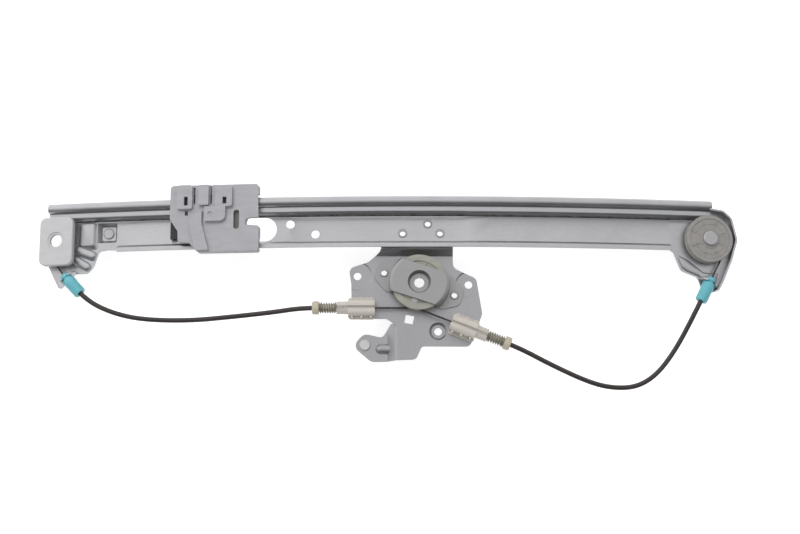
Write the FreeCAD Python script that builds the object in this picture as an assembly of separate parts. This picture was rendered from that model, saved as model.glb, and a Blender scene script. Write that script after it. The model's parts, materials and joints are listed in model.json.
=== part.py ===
import FreeCAD, Part
import math
import os

# Window regulator with one curved rail and one cable drum, lying on its back with its face up.
# Millimetres. The origin is the drum axis at the motor's seat on the plate, +X runs along the
# rail to the pulley and +Z is up. Heights along the rail are measured from the back of its web.

V = FreeCAD.Vector

# Rail
rail_radius = 1500.0
web_back = 10.0
rail_sheet = 1.5
rail_low_y = 28.4
web_low_y = 33.4
web_high_y = 55.6
bead_low_y = 61.5
rail_high_y = 69.8
step_run = 1.9
strip_height = 3.0
bead_height = 9.0
leg_height = 1.0
sheet_bend = 1.3
web_start = -246.0
web_end = 204.0
bead_start = -304.5
bead_end = 238.0
seat_depth = 2.0
seat_start = -104.0
seat_end = 39.0
seat_slope = 6.0
access_radius = 9.9
access_from = -136.0
access_to = -124.5
access_y = 44.0
web_hole_radius = 3.4
web_holes = [(-103.8, 48.0), (-83.6, 40.0)]

# Cables and their housings
cable_diameter = 1.5
cable_y = 53.7
cable_height = 6.0
conduit_diameter = 4.0
running_gap = 0.3

# Left end: fixed deflector, rail stud and sleeve
left_turn = -295.0
deflector_radius = 13.5
pad_width = 28.6
pad_length = 40.0
pad_centre_y = 37.2
pad_thickness = 5.0
pad_round = 5.5
pad_base = 2.8
screw_hole_radius = 5.2
screw_hole_y = 37.7
rail_hole_clearance = 1.0
left_sleeve_angle = -46.0
left_tab = (8.3, 7.1)
dimple_s = -255.2
dimple_y = 44.7
dimple_side = 16.4
dimple_depth = 4.0
end_plate_low_y = -14.0

# Right end: pulley and its bracket
pulley_s = 235.0
pulley_radius = 19.5
pulley_groove_radius = 16.0
pulley_thickness = 7.4
axle_radius = 4.0
axle_clearance = 0.05
axle_head_radius = 6.0
axle_head_thickness = 1.6
right_sleeve_angle = 242.2
right_tab_run = 31.6
wall_height = 9.0

# Sleeves that hold the housings in the two tabs
sleeve_radius = 4.9
sleeve_length = 14.0
sleeve_flange = 5.9
sleeve_collar = 4.3
sleeve_neck = 3.3
tab_half_width = 8.5
tab_height = 12.0

# Studs to the door panel: all three points end at one level
stud_radius = 3.0
stud_clinch_step = 0.7
stud_head_radius = 4.4
stud_head_thickness = 1.4
rest_level = -32.0

# Motor plate
plate_sheet = 1.8
neck_foot_y = 23.6
neck_head_y = 28.2
neck_end_y = 52.5
arm_drop = 8.0
arm_stud = (-43.6, -48.3)
motor_hole_radius = 12.5
plate_rivets_at = [(-13.3, 40.2), (6.9, 48.0), (16.7, 40.2)]
rivet_radius = 2.9
rivet_bore = 2.3
rivet_head = 3.6
rivet_head_thickness = 0.8
lobe_hole_radius = 3.1

# Cable drum and its cover
drum_rim = 22.2
drum_wrap = 20.0
drum_low = 2.4
drum_top = 12.9
left_cable_z = 6.6
right_cable_z = 9.4
spline_radius = 4.6
pilot_radius = 5.5
pilot_depth = 3.0
drum_hub_radius = 9.0
drum_well_radius = 11.0
drum_well_floor = 6.6
nipple_at = 15.1
nipple_angle = 256.0
nipple_radius = 2.2
nipple_floor = 9.6
cover_sheet = 1.4
cover_top = 15.0
cover_wall_gap = 0.7
cover_half_width = 13.75
cover_angle = -18.0
cover_rivet_at = 29.7
dish_rim = 9.2
dish_floor = 7.5
dish_depth = 5.8
dish_hole = 4.0

# Cable guides with sprung caps at the drum
left_guide = (-35.4, -20.0, 180.0)
right_guide_angle = -21.5
guide_length = 21.6
guide_width = 17.6
guide_body_width = 12.6
guide_base = 2.4
guide_crown = 5.6
neck_length = 9.0
neck_radius = 5.2
spring_gap = 14.2
spring_wire = 1.0
spring_mean_radius = 4.1
spring_turns = 7.5
spring_closed_turns = 1.0
spring_corners = 6
cap_length = 5.4
cap_radius = 5.4
cap_tube_radius = 3.2
cap_tube_reach = 20.0
cap_travel = 4.0

# Glass carrier
carrier_s = -165.0
carrier_face = 11.6
carrier_rib = 15.0
slide_gap = 0.5
shoe_wall = 1.5
rivet_room = 1.2


def polar(radius, degrees):
    return (radius * math.cos(math.radians(degrees)), radius * math.sin(math.radians(degrees)))


def unit(a, b):
    length = math.hypot(b[0] - a[0], b[1] - a[1])
    return ((b[0] - a[0]) / length, (b[1] - a[1]) / length)


def bend_at(before, corner, after, radius, offset=0.0):
    """Start, middle and end of the arc that rounds a corner, moved sideways by the offset."""
    d0 = unit(before, corner)
    d1 = unit(corner, after)
    cross = d0[0] * d1[1] - d0[1] * d1[0]
    turn = math.atan2(cross, d0[0] * d1[0] + d0[1] * d1[1])
    side = 1.0 if turn > 0 else -1.0
    reach = radius * math.tan(abs(turn) / 2)
    start = (corner[0] - d0[0] * reach, corner[1] - d0[1] * reach)
    end = (corner[0] + d1[0] * reach, corner[1] + d1[1] * reach)
    centre = (start[0] - d0[1] * side * radius, start[1] + d0[0] * side * radius)
    if abs(turn) < 1e-6:
        return None
    outward = unit(centre, corner)
    size = radius - side * offset
    moved_start = (start[0] - d0[1] * offset, start[1] + d0[0] * offset)
    moved_end = (end[0] - d1[1] * offset, end[1] + d1[0] * offset)
    middle = (centre[0] + outward[0] * size, centre[1] + outward[1] * size)
    return moved_start, middle, moved_end


def chain(pieces, place):
    """Lines and arcs from a list of points and (start, middle, end) arcs."""
    edges = []
    last = None
    for piece in pieces:
        first = piece[0] if len(piece) == 3 else piece
        if last is not None and math.dist(last, first) > 1e-6:
            edges.append(Part.LineSegment(place(*last), place(*first)).toShape())
        last = piece[2] if len(piece) == 3 else piece
        if len(piece) == 3:
            edges.append(Part.Arc(place(*piece[0]), place(*piece[1]), place(*piece[2])).toShape())
    return edges


def outline(corners, place=None):
    """Closed wire through (x, y, radius) corners."""
    place = place or (lambda x, y: V(x, y, 0))
    count = len(corners)
    pieces = []
    for i, (x, y, radius) in enumerate(corners):
        arc = None
        if radius > 0:
            arc = bend_at(corners[i - 1][:2], (x, y), corners[(i + 1) % count][:2], radius)
        pieces.append(arc or (x, y))
    first = pieces[0]
    pieces.append(first[0] if len(first) == 3 else first)
    return Part.Wire(Part.__sortEdges__(chain(pieces, place)))


def bent_sheet(points, radii, sheet, place):
    """Closed wire round a sheet of even thickness whose centre line follows the points."""
    sides = []
    for offset in (sheet / 2, -sheet / 2):
        d0 = unit(points[0], points[1])
        d1 = unit(points[-2], points[-1])
        pieces = [(points[0][0] - d0[1] * offset, points[0][1] + d0[0] * offset)]
        for i in range(1, len(points) - 1):
            pieces.append(bend_at(points[i - 1], points[i], points[i + 1], radii[i - 1], offset))
        pieces.append((points[-1][0] - d1[1] * offset, points[-1][1] + d1[0] * offset))
        sides.append(pieces)
    edges = chain(sides[0], place) + chain(sides[1], place)
    for end in (0, -1):
        edges.append(Part.LineSegment(place(*sides[0][end]), place(*sides[1][end])).toShape())
    return Part.Wire(Part.__sortEdges__(edges))


def prism(wire, low, high):
    face = Part.Face(wire)
    face.translate(V(0, 0, low))
    return face.extrude(V(0, 0, high - low))


def cylinder(radius, low, high, x=0.0, y=0.0):
    return Part.makeCylinder(radius, high - low, V(x, y, low))


def block(x0, x1, y0, y1, z0, z1):
    return Part.makeBox(x1 - x0, y1 - y0, z1 - z0, V(x0, y0, z0))


def turned(profile, x=0.0, y=0.0):
    """Solid of revolution about Z from (radius, height) points."""
    points = [V(r, 0, z) for r, z in profile]
    face = Part.Face(Part.makePolygon(points + points[:1]))
    solid = face.revolve(V(0, 0, 0), V(0, 0, 1), 360)
    solid.translate(V(x, y, 0))
    return solid


def fuse(shapes):
    joined = shapes[0]
    if len(shapes) > 1:
        joined = shapes[0].multiFuse(shapes[1:])
    return joined.removeSplitter()


def angle_at(s):
    return math.degrees(s / rail_radius)


rail_centre = V(0, 0, web_back - rail_radius)


def on_rail(shape, s):
    """Carries a shape from the rail's crown to the place s along its arc."""
    shape.rotate(rail_centre, V(0, 1, 0), angle_at(s))
    return shape


def along_rail(wire, start, end):
    """Sweeps a section in the Y-Z plane along the rail's arc."""
    face = on_rail(Part.Face(wire), start)
    return face.revolve(rail_centre, V(0, 1, 0), angle_at(end - start))


def section_place(y, height):
    return V(0, y, web_back + height)


def section_band(y0, y1, h0, h1):
    corners = [(y0, h0, 0), (y1, h0, 0), (y1, h1, 0), (y0, h1, 0)]
    return outline(corners, section_place)


def on_web(shape):
    """Lifts a shape drawn at zero to the web's back."""
    shape.translate(V(0, 0, web_back))
    return shape


def pressed_pan(width, length, depth, slope, sheet, corner):
    """Pressed square recess below zero: the solid to cut away and the sheet that lines it."""
    def frustum(grow, top, bottom):
        wires = []
        for z, size in ((top, slope), (bottom, 0.0)):
            a = width / 2 + grow + size
            b = length / 2 + grow + size
            corners = [(-a, -b, corner), (a, -b, corner), (a, b, corner), (-a, b, corner)]
            wires.append(outline(corners, lambda x, y, z=z: V(x, y, z)))
        return Part.makeLoft(wires, True, True)
    inner = frustum(0.0, sheet, sheet - depth)
    outer = frustum(sheet * 0.7, 0.0, -depth)
    lid = frustum(0.0, sheet, 0.0)
    return inner, outer, lid


# Guide rail

def rail_line(web_height):
    half = rail_sheet / 2
    strip = strip_height + half
    side = bead_low_y + half
    crown = bead_height - half
    far = rail_high_y - half
    return [(rail_low_y, strip), (web_low_y - step_run, strip), (web_low_y, web_height + half),
            (web_high_y, web_height + half), (web_high_y + step_run, strip), (side, strip),
            (side, crown), (far, crown), (far, leg_height)]


bead_round = (rail_high_y - bead_low_y - rail_sheet) / 2 - 0.1


def rail_section(web_height):
    radii = [sheet_bend] * 4 + [1.1, bead_round, bead_round]
    return bent_sheet(rail_line(web_height), radii, rail_sheet, section_place)


def upper_section():
    points = rail_line(0.0)[3:]
    points[0] = (web_high_y - 2.0, rail_sheet / 2)
    points.insert(1, (web_high_y, rail_sheet / 2))
    return bent_sheet(points, [sheet_bend] * 2 + [1.1, bead_round, bead_round], rail_sheet,
                      section_place)


def rail_transition(start, end, from_height, to_height):
    first = on_rail(rail_section(from_height), start)
    second = on_rail(rail_section(to_height), end)
    return Part.makeLoft([first, second], True, True)


def end_plate(s, corners, low_y, high_y, start, end):
    """Flat end of the rail: the outline cut from a sheet that follows the rail's arc."""
    sheet = along_rail(section_band(low_y, high_y, 0, rail_sheet), start, end)
    cutter = on_rail(on_web(prism(outline(corners), -40, 40)), s)
    return sheet.common(cutter)


def sleeve_tab(position, degrees):
    """Upright tab across the cable with an open slot for the sleeve's neck."""
    half = rail_sheet / 2
    foot = rail_sheet / 3
    shoulder = tab_height - tab_half_width
    plate = block(-half, half, -tab_half_width, tab_half_width, foot, shoulder)
    crown = Part.makeCylinder(tab_half_width, rail_sheet, V(-half, 0, shoulder), V(1, 0, 0))
    above = block(-half, half, -tab_half_width, tab_half_width, shoulder, tab_height)
    plate = plate.fuse(crown.common(above))
    slot = Part.makeCylinder(sleeve_neck, 4, V(-2, 0, cable_height), V(1, 0, 0))
    throat = block(-2, 2, -sleeve_neck, sleeve_neck, cable_height, tab_height + 2)
    tab = plate.cut(slot.fuse(throat))
    tab.rotate(V(0, 0, 0), V(0, 0, 1), degrees)
    tab.translate(V(position[0], position[1], 0))
    return tab


def sleeve_room(position, degrees, s):
    """Cut in the end plate that leaves the sleeve's barrel free beyond its tab."""
    room = Part.makeCylinder(sleeve_flange + 0.5, 24, V(rail_sheet / 2, 0, 0), V(1, 0, 0))
    room.rotate(V(0, 0, 0), V(0, 0, 1), degrees)
    room.translate(V(position[0], position[1], cable_height))
    return on_rail(on_web(room), s)


def right_tangent():
    """Where the cable leaves the pulley, seen from the pulley's centre on the rail."""
    x, y = polar(pulley_groove_radius, right_sleeve_angle + 90.0)
    return (x, y + cable_y - pulley_groove_radius)


def right_tab_place():
    x, y = right_tangent()
    dx, dy = polar(right_tab_run, right_sleeve_angle)
    return (x + dx, y + dy)


def make_guide_rail():
    parts = [along_rail(rail_section(0.0), web_start, seat_start),
             rail_transition(seat_start, seat_start + seat_slope, 0.0, -seat_depth),
             along_rail(rail_section(-seat_depth), seat_start + seat_slope, seat_end - seat_slope),
             rail_transition(seat_end - seat_slope, seat_end, -seat_depth, 0.0),
             along_rail(rail_section(0.0), seat_end, web_end),
             along_rail(upper_section(), bead_start, web_start),
             along_rail(upper_section(), web_end, bead_end)]
    left = [(51, 57, 0), (51, 30, 0), (40, 30.5, 5), (33, 29.5, 4), (29, 17, 8), (24, 11.5, 4),
            (13, 11.5, 3), (0.2, -1.8, 2.5), (-11.2, 20.3, 6), (-12.8, 40, 8), (-9.0, 57, 0)]
    parts.append(end_plate(left_turn, left, end_plate_low_y, web_high_y + 0.6, left_turn - 16,
                           web_start + 1))
    wall_line = [(5.2, -4.2), (9.3, 2.8), (17.5, 21.2), (20.0, 29.4), (22.7, 37.2),
                 (18.6, 55.2), (12.0, 61.0), (1.0, 62.5)]
    wall_bends = [10, 8, 6, 7, 6, 4]
    under_wall = [(x, y, r) for (x, y), r in zip(wall_line, [2] + wall_bends + [0])]
    right = [(-33, 57, 0), (-33, 30, 0), (-28.5, 27, 4), (-22.8, 12, 6), (-9, 7, 5),
             (-4.5, -7.2, 2)] + under_wall + [(-10, 63, 0)]
    right_end = pulley_s + 27
    parts.append(end_plate(pulley_s, right, end_plate_low_y, web_high_y + 0.6, web_end - 1,
                           right_end))
    parts.append(end_plate(pulley_s, right, web_high_y, rail_high_y, bead_end - 3, right_end))
    wall = prism(bent_sheet(wall_line, wall_bends, rail_sheet, lambda x, y: V(x, y, 0)), 0.6,
                 wall_height)
    parts.append(on_rail(on_web(wall), pulley_s))
    parts.append(on_rail(on_web(sleeve_tab(left_tab, left_sleeve_angle)), left_turn))
    parts.append(on_rail(on_web(sleeve_tab(right_tab_place(), right_sleeve_angle)), pulley_s))
    rail = fuse(parts)

    inner, outer, lid = pressed_pan(dimple_side - 5, dimple_side - 5, dimple_depth, 2.5,
                                    rail_sheet, 1.5)
    for shape in (inner, outer, lid):
        shape.translate(V(0, dimple_y, web_back))
        on_rail(shape, dimple_s)
    rail = rail.fuse(outer).cut(inner).cut(lid)

    holes = [on_rail(cylinder(web_hole_radius, -5, 15, 0, y), s) for s, y in web_holes]
    holes += [on_rail(cylinder(rivet_radius, -5, 15, 0, y), s) for s, y in plate_rivets_at]
    middle = (access_from + access_to) / 2
    half = (access_to - access_from) / 2 + access_radius
    low_y = access_y - access_radius
    high_y = access_y + access_radius
    round_end = access_radius - 0.01
    slot = outline([(-half, low_y, round_end), (half, low_y, round_end),
                    (half, high_y, round_end), (-half, high_y, round_end)])
    holes.append(on_rail(prism(slot, -5, 15), middle))
    holes.append(on_rail(cylinder(stud_radius + stud_clinch_step, -10, 20, 0, dimple_y), dimple_s))
    holes.append(on_rail(cylinder(axle_radius, -10, 30, 0, pulley_y), pulley_s))
    rail_hole_radius = screw_hole_radius + rail_hole_clearance
    holes.append(on_rail(cylinder(rail_hole_radius, -10, 30, 0, screw_hole_y), left_turn))
    holes.append(sleeve_room(left_tab, left_sleeve_angle, left_turn))
    holes.append(sleeve_room(right_tab_place(), right_sleeve_angle, pulley_s))
    room = cylinder(pulley_radius + 0.8, web_back + rail_sheet + 0.1, 40, 0, pulley_y)
    holes.append(on_rail(room, pulley_s))
    return rail.cut(fuse(holes))


pulley_y = cable_y - pulley_groove_radius
deflector_y = cable_y - deflector_radius


# Deflector, pulley, axle and studs

def make_deflector():
    """Fixed moulding that turns the cable: base, grooved core and pad."""
    def plate(width, low_y, high_y, low, high, corner):
        half = width / 2
        corners = [(-half, low_y, corner), (half, low_y, corner), (half, high_y, corner),
                   (-half, high_y, corner)]
        return prism(outline(corners), low, high)
    low_y = pad_centre_y - pad_length / 2
    high_y = pad_centre_y + pad_length / 2
    base_top = rail_sheet + pad_base
    pad_low = cable_height + cable_diameter / 2 + running_gap + 0.7
    pad = plate(pad_width, low_y, high_y, pad_low, pad_low + pad_thickness, pad_round)
    pad = pad.makeFillet(1.2, [e for e in pad.Edges if e.BoundBox.ZMin > pad_low + 1])
    base = plate(pad_width - 6, low_y + 6, web_high_y - 0.8, rail_sheet, base_top, pad_round)
    core_radius = deflector_radius - cable_diameter / 2 - running_gap
    core = cylinder(core_radius, base_top - 0.5, pad_low + 0.5, 0, deflector_y)
    body = fuse([pad, base, core])
    body = body.cut(cylinder(screw_hole_radius, 0, 30, 0, screw_hole_y))
    rim = pad_low + pad_thickness
    dip = cylinder(screw_hole_radius + 1.8, rim - 0.8, rim + 1, 0, screw_hole_y)
    return on_rail(on_web(body.cut(dip)), left_turn)


def make_pulley():
    """Grooved return pulley with a hub, a web and eight ribs on its face."""
    low = cable_height - pulley_thickness / 2
    high = cable_height + pulley_thickness / 2
    root = pulley_groove_radius - cable_diameter / 2 - running_gap
    lip = 1.05 + running_gap * 0.2
    bore = axle_radius + axle_clearance
    wheel = turned([(bore, low), (pulley_radius - 0.8, low), (pulley_radius, low + 0.8),
                    (root, cable_height - lip), (root, cable_height + lip),
                    (pulley_radius, high - 0.8), (pulley_radius - 0.8, high), (bore, high)])
    dish = turned([(axle_head_radius + 2.2, high - 1.9), (pulley_radius - 3.4, high - 1.9),
                   (pulley_radius - 2.6, high + 1), (axle_head_radius + 1.4, high + 1)])
    wheel = wheel.cut(dish)
    ribs = []
    for i in range(8):
        rib = block(axle_head_radius + 1.6, pulley_radius - 2.6, -0.6, 0.6, high - 2.2, high - 0.3)
        rib.rotate(V(0, 0, 0), V(0, 0, 1), i * 45 + 22.5)
        ribs.append(rib)
    wheel = fuse([wheel] + ribs)
    wheel.translate(V(0, pulley_y, 0))
    return on_rail(on_web(wheel), pulley_s)


def stud_depth(s, y):
    """Height, from the web's back, of the ball centre that ends a stud at the rest level."""
    return (rest_level + stud_radius - rail_centre.z) / math.cos(math.radians(angle_at(s))) \
        - rail_radius


def rounded_stud(top, depth, radius):
    """Shank from its top down to the round point whose ball centre lies at the depth."""
    shank = cylinder(radius, depth, top)
    return shank.fuse(Part.makeSphere(radius, V(0, 0, depth))).removeSplitter()


def make_axle():
    """Stepped stud: head, journal for the pulley, shoulder washer and threaded shank."""
    top = cable_height + pulley_thickness / 2 + running_gap
    low = cable_height - pulley_thickness / 2 - running_gap
    head = turned([(0, top), (axle_head_radius, top), (axle_head_radius, top + 1.0),
                   (axle_head_radius - 0.8, top + axle_head_thickness),
                   (0, top + axle_head_thickness)])
    journal = cylinder(axle_radius, -1.2, top)
    washer = cylinder(axle_head_radius, rail_sheet, low)
    foot = cylinder(axle_head_radius - 0.6, -1.4, 0)
    stud = rounded_stud(0, stud_depth(pulley_s, pulley_y), stud_radius)
    axle = fuse([head, journal, washer, foot, stud])
    axle.translate(V(0, pulley_y, 0))
    return on_rail(on_web(axle), pulley_s)


def panel_stud(floor, sheet, depth):
    """Stud clinched in a sheet whose upper face is the floor: head, clinch and threaded shank."""
    high = floor + stud_head_thickness
    head = turned([(0, floor), (stud_head_radius, floor),
                   (stud_head_radius, floor + stud_head_thickness * 0.6),
                   (stud_head_radius - 0.6, high), (0, high)])
    clinch = cylinder(stud_radius + stud_clinch_step, floor - sheet, floor)
    return fuse([head, clinch, rounded_stud(floor - sheet, depth, stud_radius)])


def make_rail_stud():
    stud = panel_stud(rail_sheet - dimple_depth, rail_sheet, stud_depth(dimple_s, dimple_y))
    stud.translate(V(0, dimple_y, 0))
    return on_rail(on_web(stud), dimple_s)


def make_arm_stud():
    stud = panel_stud(plate_sheet - arm_drop, plate_sheet, rest_level + stud_radius)
    stud.translate(V(arm_stud[0], arm_stud[1], 0))
    return stud


# Motor plate with its neck, arm and rivets

neck_top = web_back - seat_depth


def make_motor_plate():
    half = plate_sheet / 2
    high = neck_top - half
    line = [(-70, half), (neck_foot_y, half), (neck_head_y, high), (neck_end_y, high)]
    sheet_wire = bent_sheet(line, [2.5, 2.5], plate_sheet, lambda y, z: V(-80, y, z))
    bent = Part.Face(sheet_wire).extrude(V(160, 0, 0))
    corners = [(-30.5, 52.5, 3), (-30.5, 27, 5), (-41, 18.2, 8), (-56.5, 13, 5),
               (-54.6, 0, 6), (-54.2, -28, 3), (-26, -28, 4), (-17.5, -34, 6), (-17.5, -61.3, 0),
               (-2.5, -60.8, 5), (2.0, -50.2, 3), (40.5, -50.4, 5), (50.6, -24, 5), (46, 4.6, 5),
               (27.2, 13.5, 6), (27, 52.5, 3)]
    plate = bent.common(prism(outline(corners), -20, 20))
    drop_line = [(-60, half - arm_drop), (-25.5, half - arm_drop), (-18.5, half), (-12, half)]
    drop_wire = bent_sheet(drop_line, [3, 3], plate_sheet, lambda x, z: V(x, -80, z))
    drop = Part.Face(drop_wire).extrude(V(0, 80, 0))
    arm_corners = [(-16.5, -33.5, 0), (-22.5, -31, 2), (-29.5, -42.2, 4), (-44.5, -38.8, 7),
                   (-53.6, -49, 6), (-38.5, -61.8, 7), (-16.5, -61.3, 0)]
    arm = drop.common(prism(outline(arm_corners), -20, 20))
    plate = fuse([plate, arm])
    above_web = along_rail(section_band(0, 90, -seat_depth, 20), -60, 60)
    plate = plate.cut(above_web)
    cuts = [on_rail(cylinder(rivet_radius, -5, 15, 0, y), s) for s, y in plate_rivets_at]
    cuts.append(cylinder(motor_hole_radius, -5, 8))
    cuts.append(cylinder(lobe_hole_radius, -5, 8, -49.6, 6.6))
    cuts.append(cylinder(lobe_hole_radius, -5, 8, 39.6, -0.4))
    cuts.append(cylinder(stud_radius + stud_clinch_step, -20, 8, arm_stud[0], arm_stud[1]))
    for side in (-1, 1):
        x, y = polar(cover_rivet_at * side, cover_angle)
        cuts.append(cylinder(rivet_radius, -5, 8, x, y))
    square = block(-3.4, 3.4, -3.4, 3.4, -5, 8)
    square.rotate(V(0, 0, 0), V(0, 0, 1), -11)
    square.translate(V(-8.0, -28.6, 0))
    cuts.append(square)
    plate = plate.cut(fuse(cuts))
    boss = turned([(7.2, 0), (7.2 + 1.3, 0), (7.2, plate_sheet), (5.4, plate_sheet - 1.6),
                   (0, plate_sheet - 1.6), (0, plate_sheet - 1.6 - plate_sheet),
                   (5.8, plate_sheet - 1.6 - plate_sheet)], 15.1, -38.2)
    dip = turned([(0, plate_sheet - 1.6), (5.4, plate_sheet - 1.6), (7.2, plate_sheet),
                  (0, plate_sheet)], 15.1, -38.2)
    plate = plate.fuse(boss).cut(dip).cut(cylinder(lobe_hole_radius, -8, 8, 15.1, -38.2))
    return plate


def hollow_rivet(low, high):
    """Tubular rivet through two sheets, with a rolled head on each side."""
    t = rivet_head_thickness
    return turned([(rivet_bore, low - t), (rivet_head - 0.4, low - t), (rivet_head, low - 0.3),
                   (rivet_head, low), (rivet_radius, low), (rivet_radius, high),
                   (rivet_head, high), (rivet_head, high + 0.3), (rivet_head - 0.4, high + t),
                   (rivet_bore, high + t)])


def make_plate_rivets():
    rivets = []
    for s, y in plate_rivets_at:
        low = neck_top - plate_sheet - web_back
        rivet = hollow_rivet(low, rail_sheet - seat_depth)
        rivet.translate(V(0, y, web_back))
        rivets.append(on_rail(rivet, s))
    return Part.makeCompound(rivets)


# Drum, cover and cover rivets

cover_wall = drum_rim + cover_wall_gap


def make_drum():
    """Grooved drum: splined hub, floor web, well under the cover's dish and cable pockets."""
    root = drum_wrap - cable_diameter / 2 - running_gap
    half = cable_diameter / 2 + running_gap
    profile = [(0, 0), (drum_hub_radius, 0), (drum_hub_radius, drum_low), (drum_rim, drum_low)]
    for z in (left_cable_z, right_cable_z):
        profile += [(drum_rim, z - half - 0.25), (root, z - half), (root, z + half),
                    (drum_rim, z + half + 0.25)]
    profile += [(drum_rim, drum_top), (drum_well_radius, drum_top),
                (drum_well_radius, drum_well_floor), (0, drum_well_floor)]
    drum = turned(profile)
    spline = [cylinder(pilot_radius, -1, pilot_depth), cylinder(spline_radius, -1, 10)]
    for i in range(12):
        x, y = polar(spline_radius, i * 30)
        spline.append(cylinder(0.7, pilot_depth - 0.5, 10, x, y))
    recess = turned([(drum_well_radius + 1.8, 8.6), (root - 1.8, 8.6), (root - 1.2, 20),
                     (drum_well_radius + 1.2, 20)])
    spokes = []
    for i in range(6):
        spoke = block(drum_well_radius, root, -0.9, 0.9, 8, drum_top - 0.4)
        spoke.rotate(V(0, 0, 0), V(0, 0, 1), i * 60 + 12)
        spokes.append(spoke)
    drum = drum.cut(recess)
    boss_x, boss_y = polar(nipple_at, nipple_angle)
    boss = cylinder(nipple_radius + 1.0, 8, drum_top - 0.4, boss_x, boss_y)
    drum = fuse([drum, boss] + spokes).cut(fuse(spline))
    return drum.cut(cylinder(nipple_radius, nipple_floor, 20, boss_x, boss_y))


def make_drum_nipple():
    x, y = polar(nipple_at, nipple_angle)
    return cylinder(nipple_radius, nipple_floor, drum_top, x, y)


def make_cover():
    """Pressed bridge over the drum with a dished middle and a riveted foot at each end."""
    half = cover_sheet / 2
    wall = cover_wall + half
    line = [(1.0, cover_top - half), (wall, cover_top - half), (wall, plate_sheet + half),
            (42, plate_sheet + half)]
    hat = Part.Face(bent_sheet(line, [2.2, 1.6], cover_sheet, lambda r, z: V(r, 0, z)))
    hat = hat.revolve(V(0, 0, 0), V(0, 0, 1), 360)
    hat = hat.fuse(cylinder(1.2, cover_top - cover_sheet, cover_top))
    w = cover_half_width
    foot = cover_rivet_at + 6.5
    corners = [(-foot, 6.5, 6), (-24, w, 4), (24, w, 4), (foot, 6.5, 6), (foot, -6.5, 6),
               (24, -w, 4), (-24, -w, 4), (-foot, -6.5, 6)]
    shape = prism(outline(corners), -5, 30)
    cover = hat.common(shape)
    low = cover_top - dish_depth
    t = cover_sheet
    lining = turned([(dish_rim + t, cover_top - t), (dish_rim + t + 0.4, cover_top), (0, cover_top),
                     (0, low - t), (dish_floor + 0.7, low - t)])
    bowl = turned([(0, low), (dish_floor, low), (dish_rim, cover_top), (dish_rim, cover_top + 1),
                   (0, cover_top + 1)])
    cover = cover.fuse(lining).cut(bowl)
    cuts = [cylinder(dish_hole, -5, 30)]
    for side in (-1, 1):
        cuts.append(cylinder(rivet_radius, -5, 30, cover_rivet_at * side, 0))
    cover = cover.cut(fuse(cuts))
    cover.rotate(V(0, 0, 0), V(0, 0, 1), cover_angle)
    return cover.removeSplitter()


def make_cover_rivets():
    rivets = []
    for side in (-1, 1):
        rivet = hollow_rivet(0, plate_sheet + cover_sheet)
        x, y = polar(cover_rivet_at * side, cover_angle)
        rivet.translate(V(x, y, 0))
        rivets.append(rivet)
    return Part.makeCompound(rivets)


# Cable guides, springs and caps. Each is drawn along +X from the drum side, then turned.

def right_guide():
    x, y = polar(drum_wrap, right_guide_angle - 90)
    dx, dy = polar(35.4, right_guide_angle)
    return (x + dx, y + dy, right_guide_angle)


def guide_place(shape, guide, z):
    shape.rotate(V(0, 0, 0), V(0, 0, 1), guide[2])
    shape.translate(V(guide[0], guide[1], z))
    return shape


def rod(radius, start, end):
    return Part.makeCylinder(radius, end - start, V(start, 0, 0), V(1, 0, 0))


def make_guide(guide, z):
    """Moulded guide: foot on the plate, ribbed body with a slot for the cable, spring neck."""
    low = plate_sheet - z
    half = guide_width / 2
    foot = prism(outline([(0, -half, 2.5), (guide_length, -half, 2.5), (guide_length, half, 2.5),
                          (0, half, 2.5)]), low, low + guide_base)
    body_half = guide_body_width / 2
    arch = outline([(-body_half, low, 0), (body_half, low, 0), (body_half, guide_crown, 3.4),
                    (-body_half, guide_crown, 3.4)], lambda y, h: V(0.0, y, h))
    body = Part.Face(arch).extrude(V(guide_length, 0, 0))
    ribs = [prism(outline([(x, -half + 0.8, 0), (x + 1.6, -half + 0.8, 0), (x + 1.6, half - 0.8, 0),
                           (x, half - 0.8, 0)]), low, guide_crown - 3.0)
            for x in (2.4, guide_length / 2 - 0.8, guide_length - 4.0)]
    neck = rod(neck_radius, guide_length - 1, guide_length + neck_length)
    guide_body = fuse([foot, body, neck] + ribs)
    reach = guide_length + neck_length + spring_gap - cap_tube_reach - cap_travel - 1.0
    cuts = [rod(cable_diameter / 2 + running_gap, -1, guide_length + neck_length + 1),
            rod(cap_tube_radius + running_gap + 0.1, reach, guide_length + neck_length + 1),
            block(-1, guide_length + neck_length + 1, -1.1, 1.1, 0, 20)]
    return guide_place(guide_body.cut(fuse(cuts)), guide, z)


def make_spring(guide, z):
    """Compression spring between the guide's neck and the cap, with a closed turn at each end."""
    start = guide_length + neck_length + 0.05 + spring_wire / 2
    length = spring_gap - 0.1 - spring_wire
    closed_pitch = spring_wire * 1.08
    open_turns = spring_turns - 2 * spring_closed_turns
    open_pitch = (length - 2 * spring_closed_turns * closed_pitch) / open_turns
    corner = spring_mean_radius / math.cos(math.pi / spring_corners)
    points = []
    for i in range(int(spring_turns * spring_corners) + 1):
        turns = i / spring_corners
        opened = min(max(turns - spring_closed_turns, 0.0), open_turns)
        y, h = polar(corner, 360.0 * turns)
        points.append(V(start + closed_pitch * (turns - opened) + open_pitch * opened, y, h))
    return guide_place(tube_through(points, spring_wire / 2), guide, z)


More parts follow.
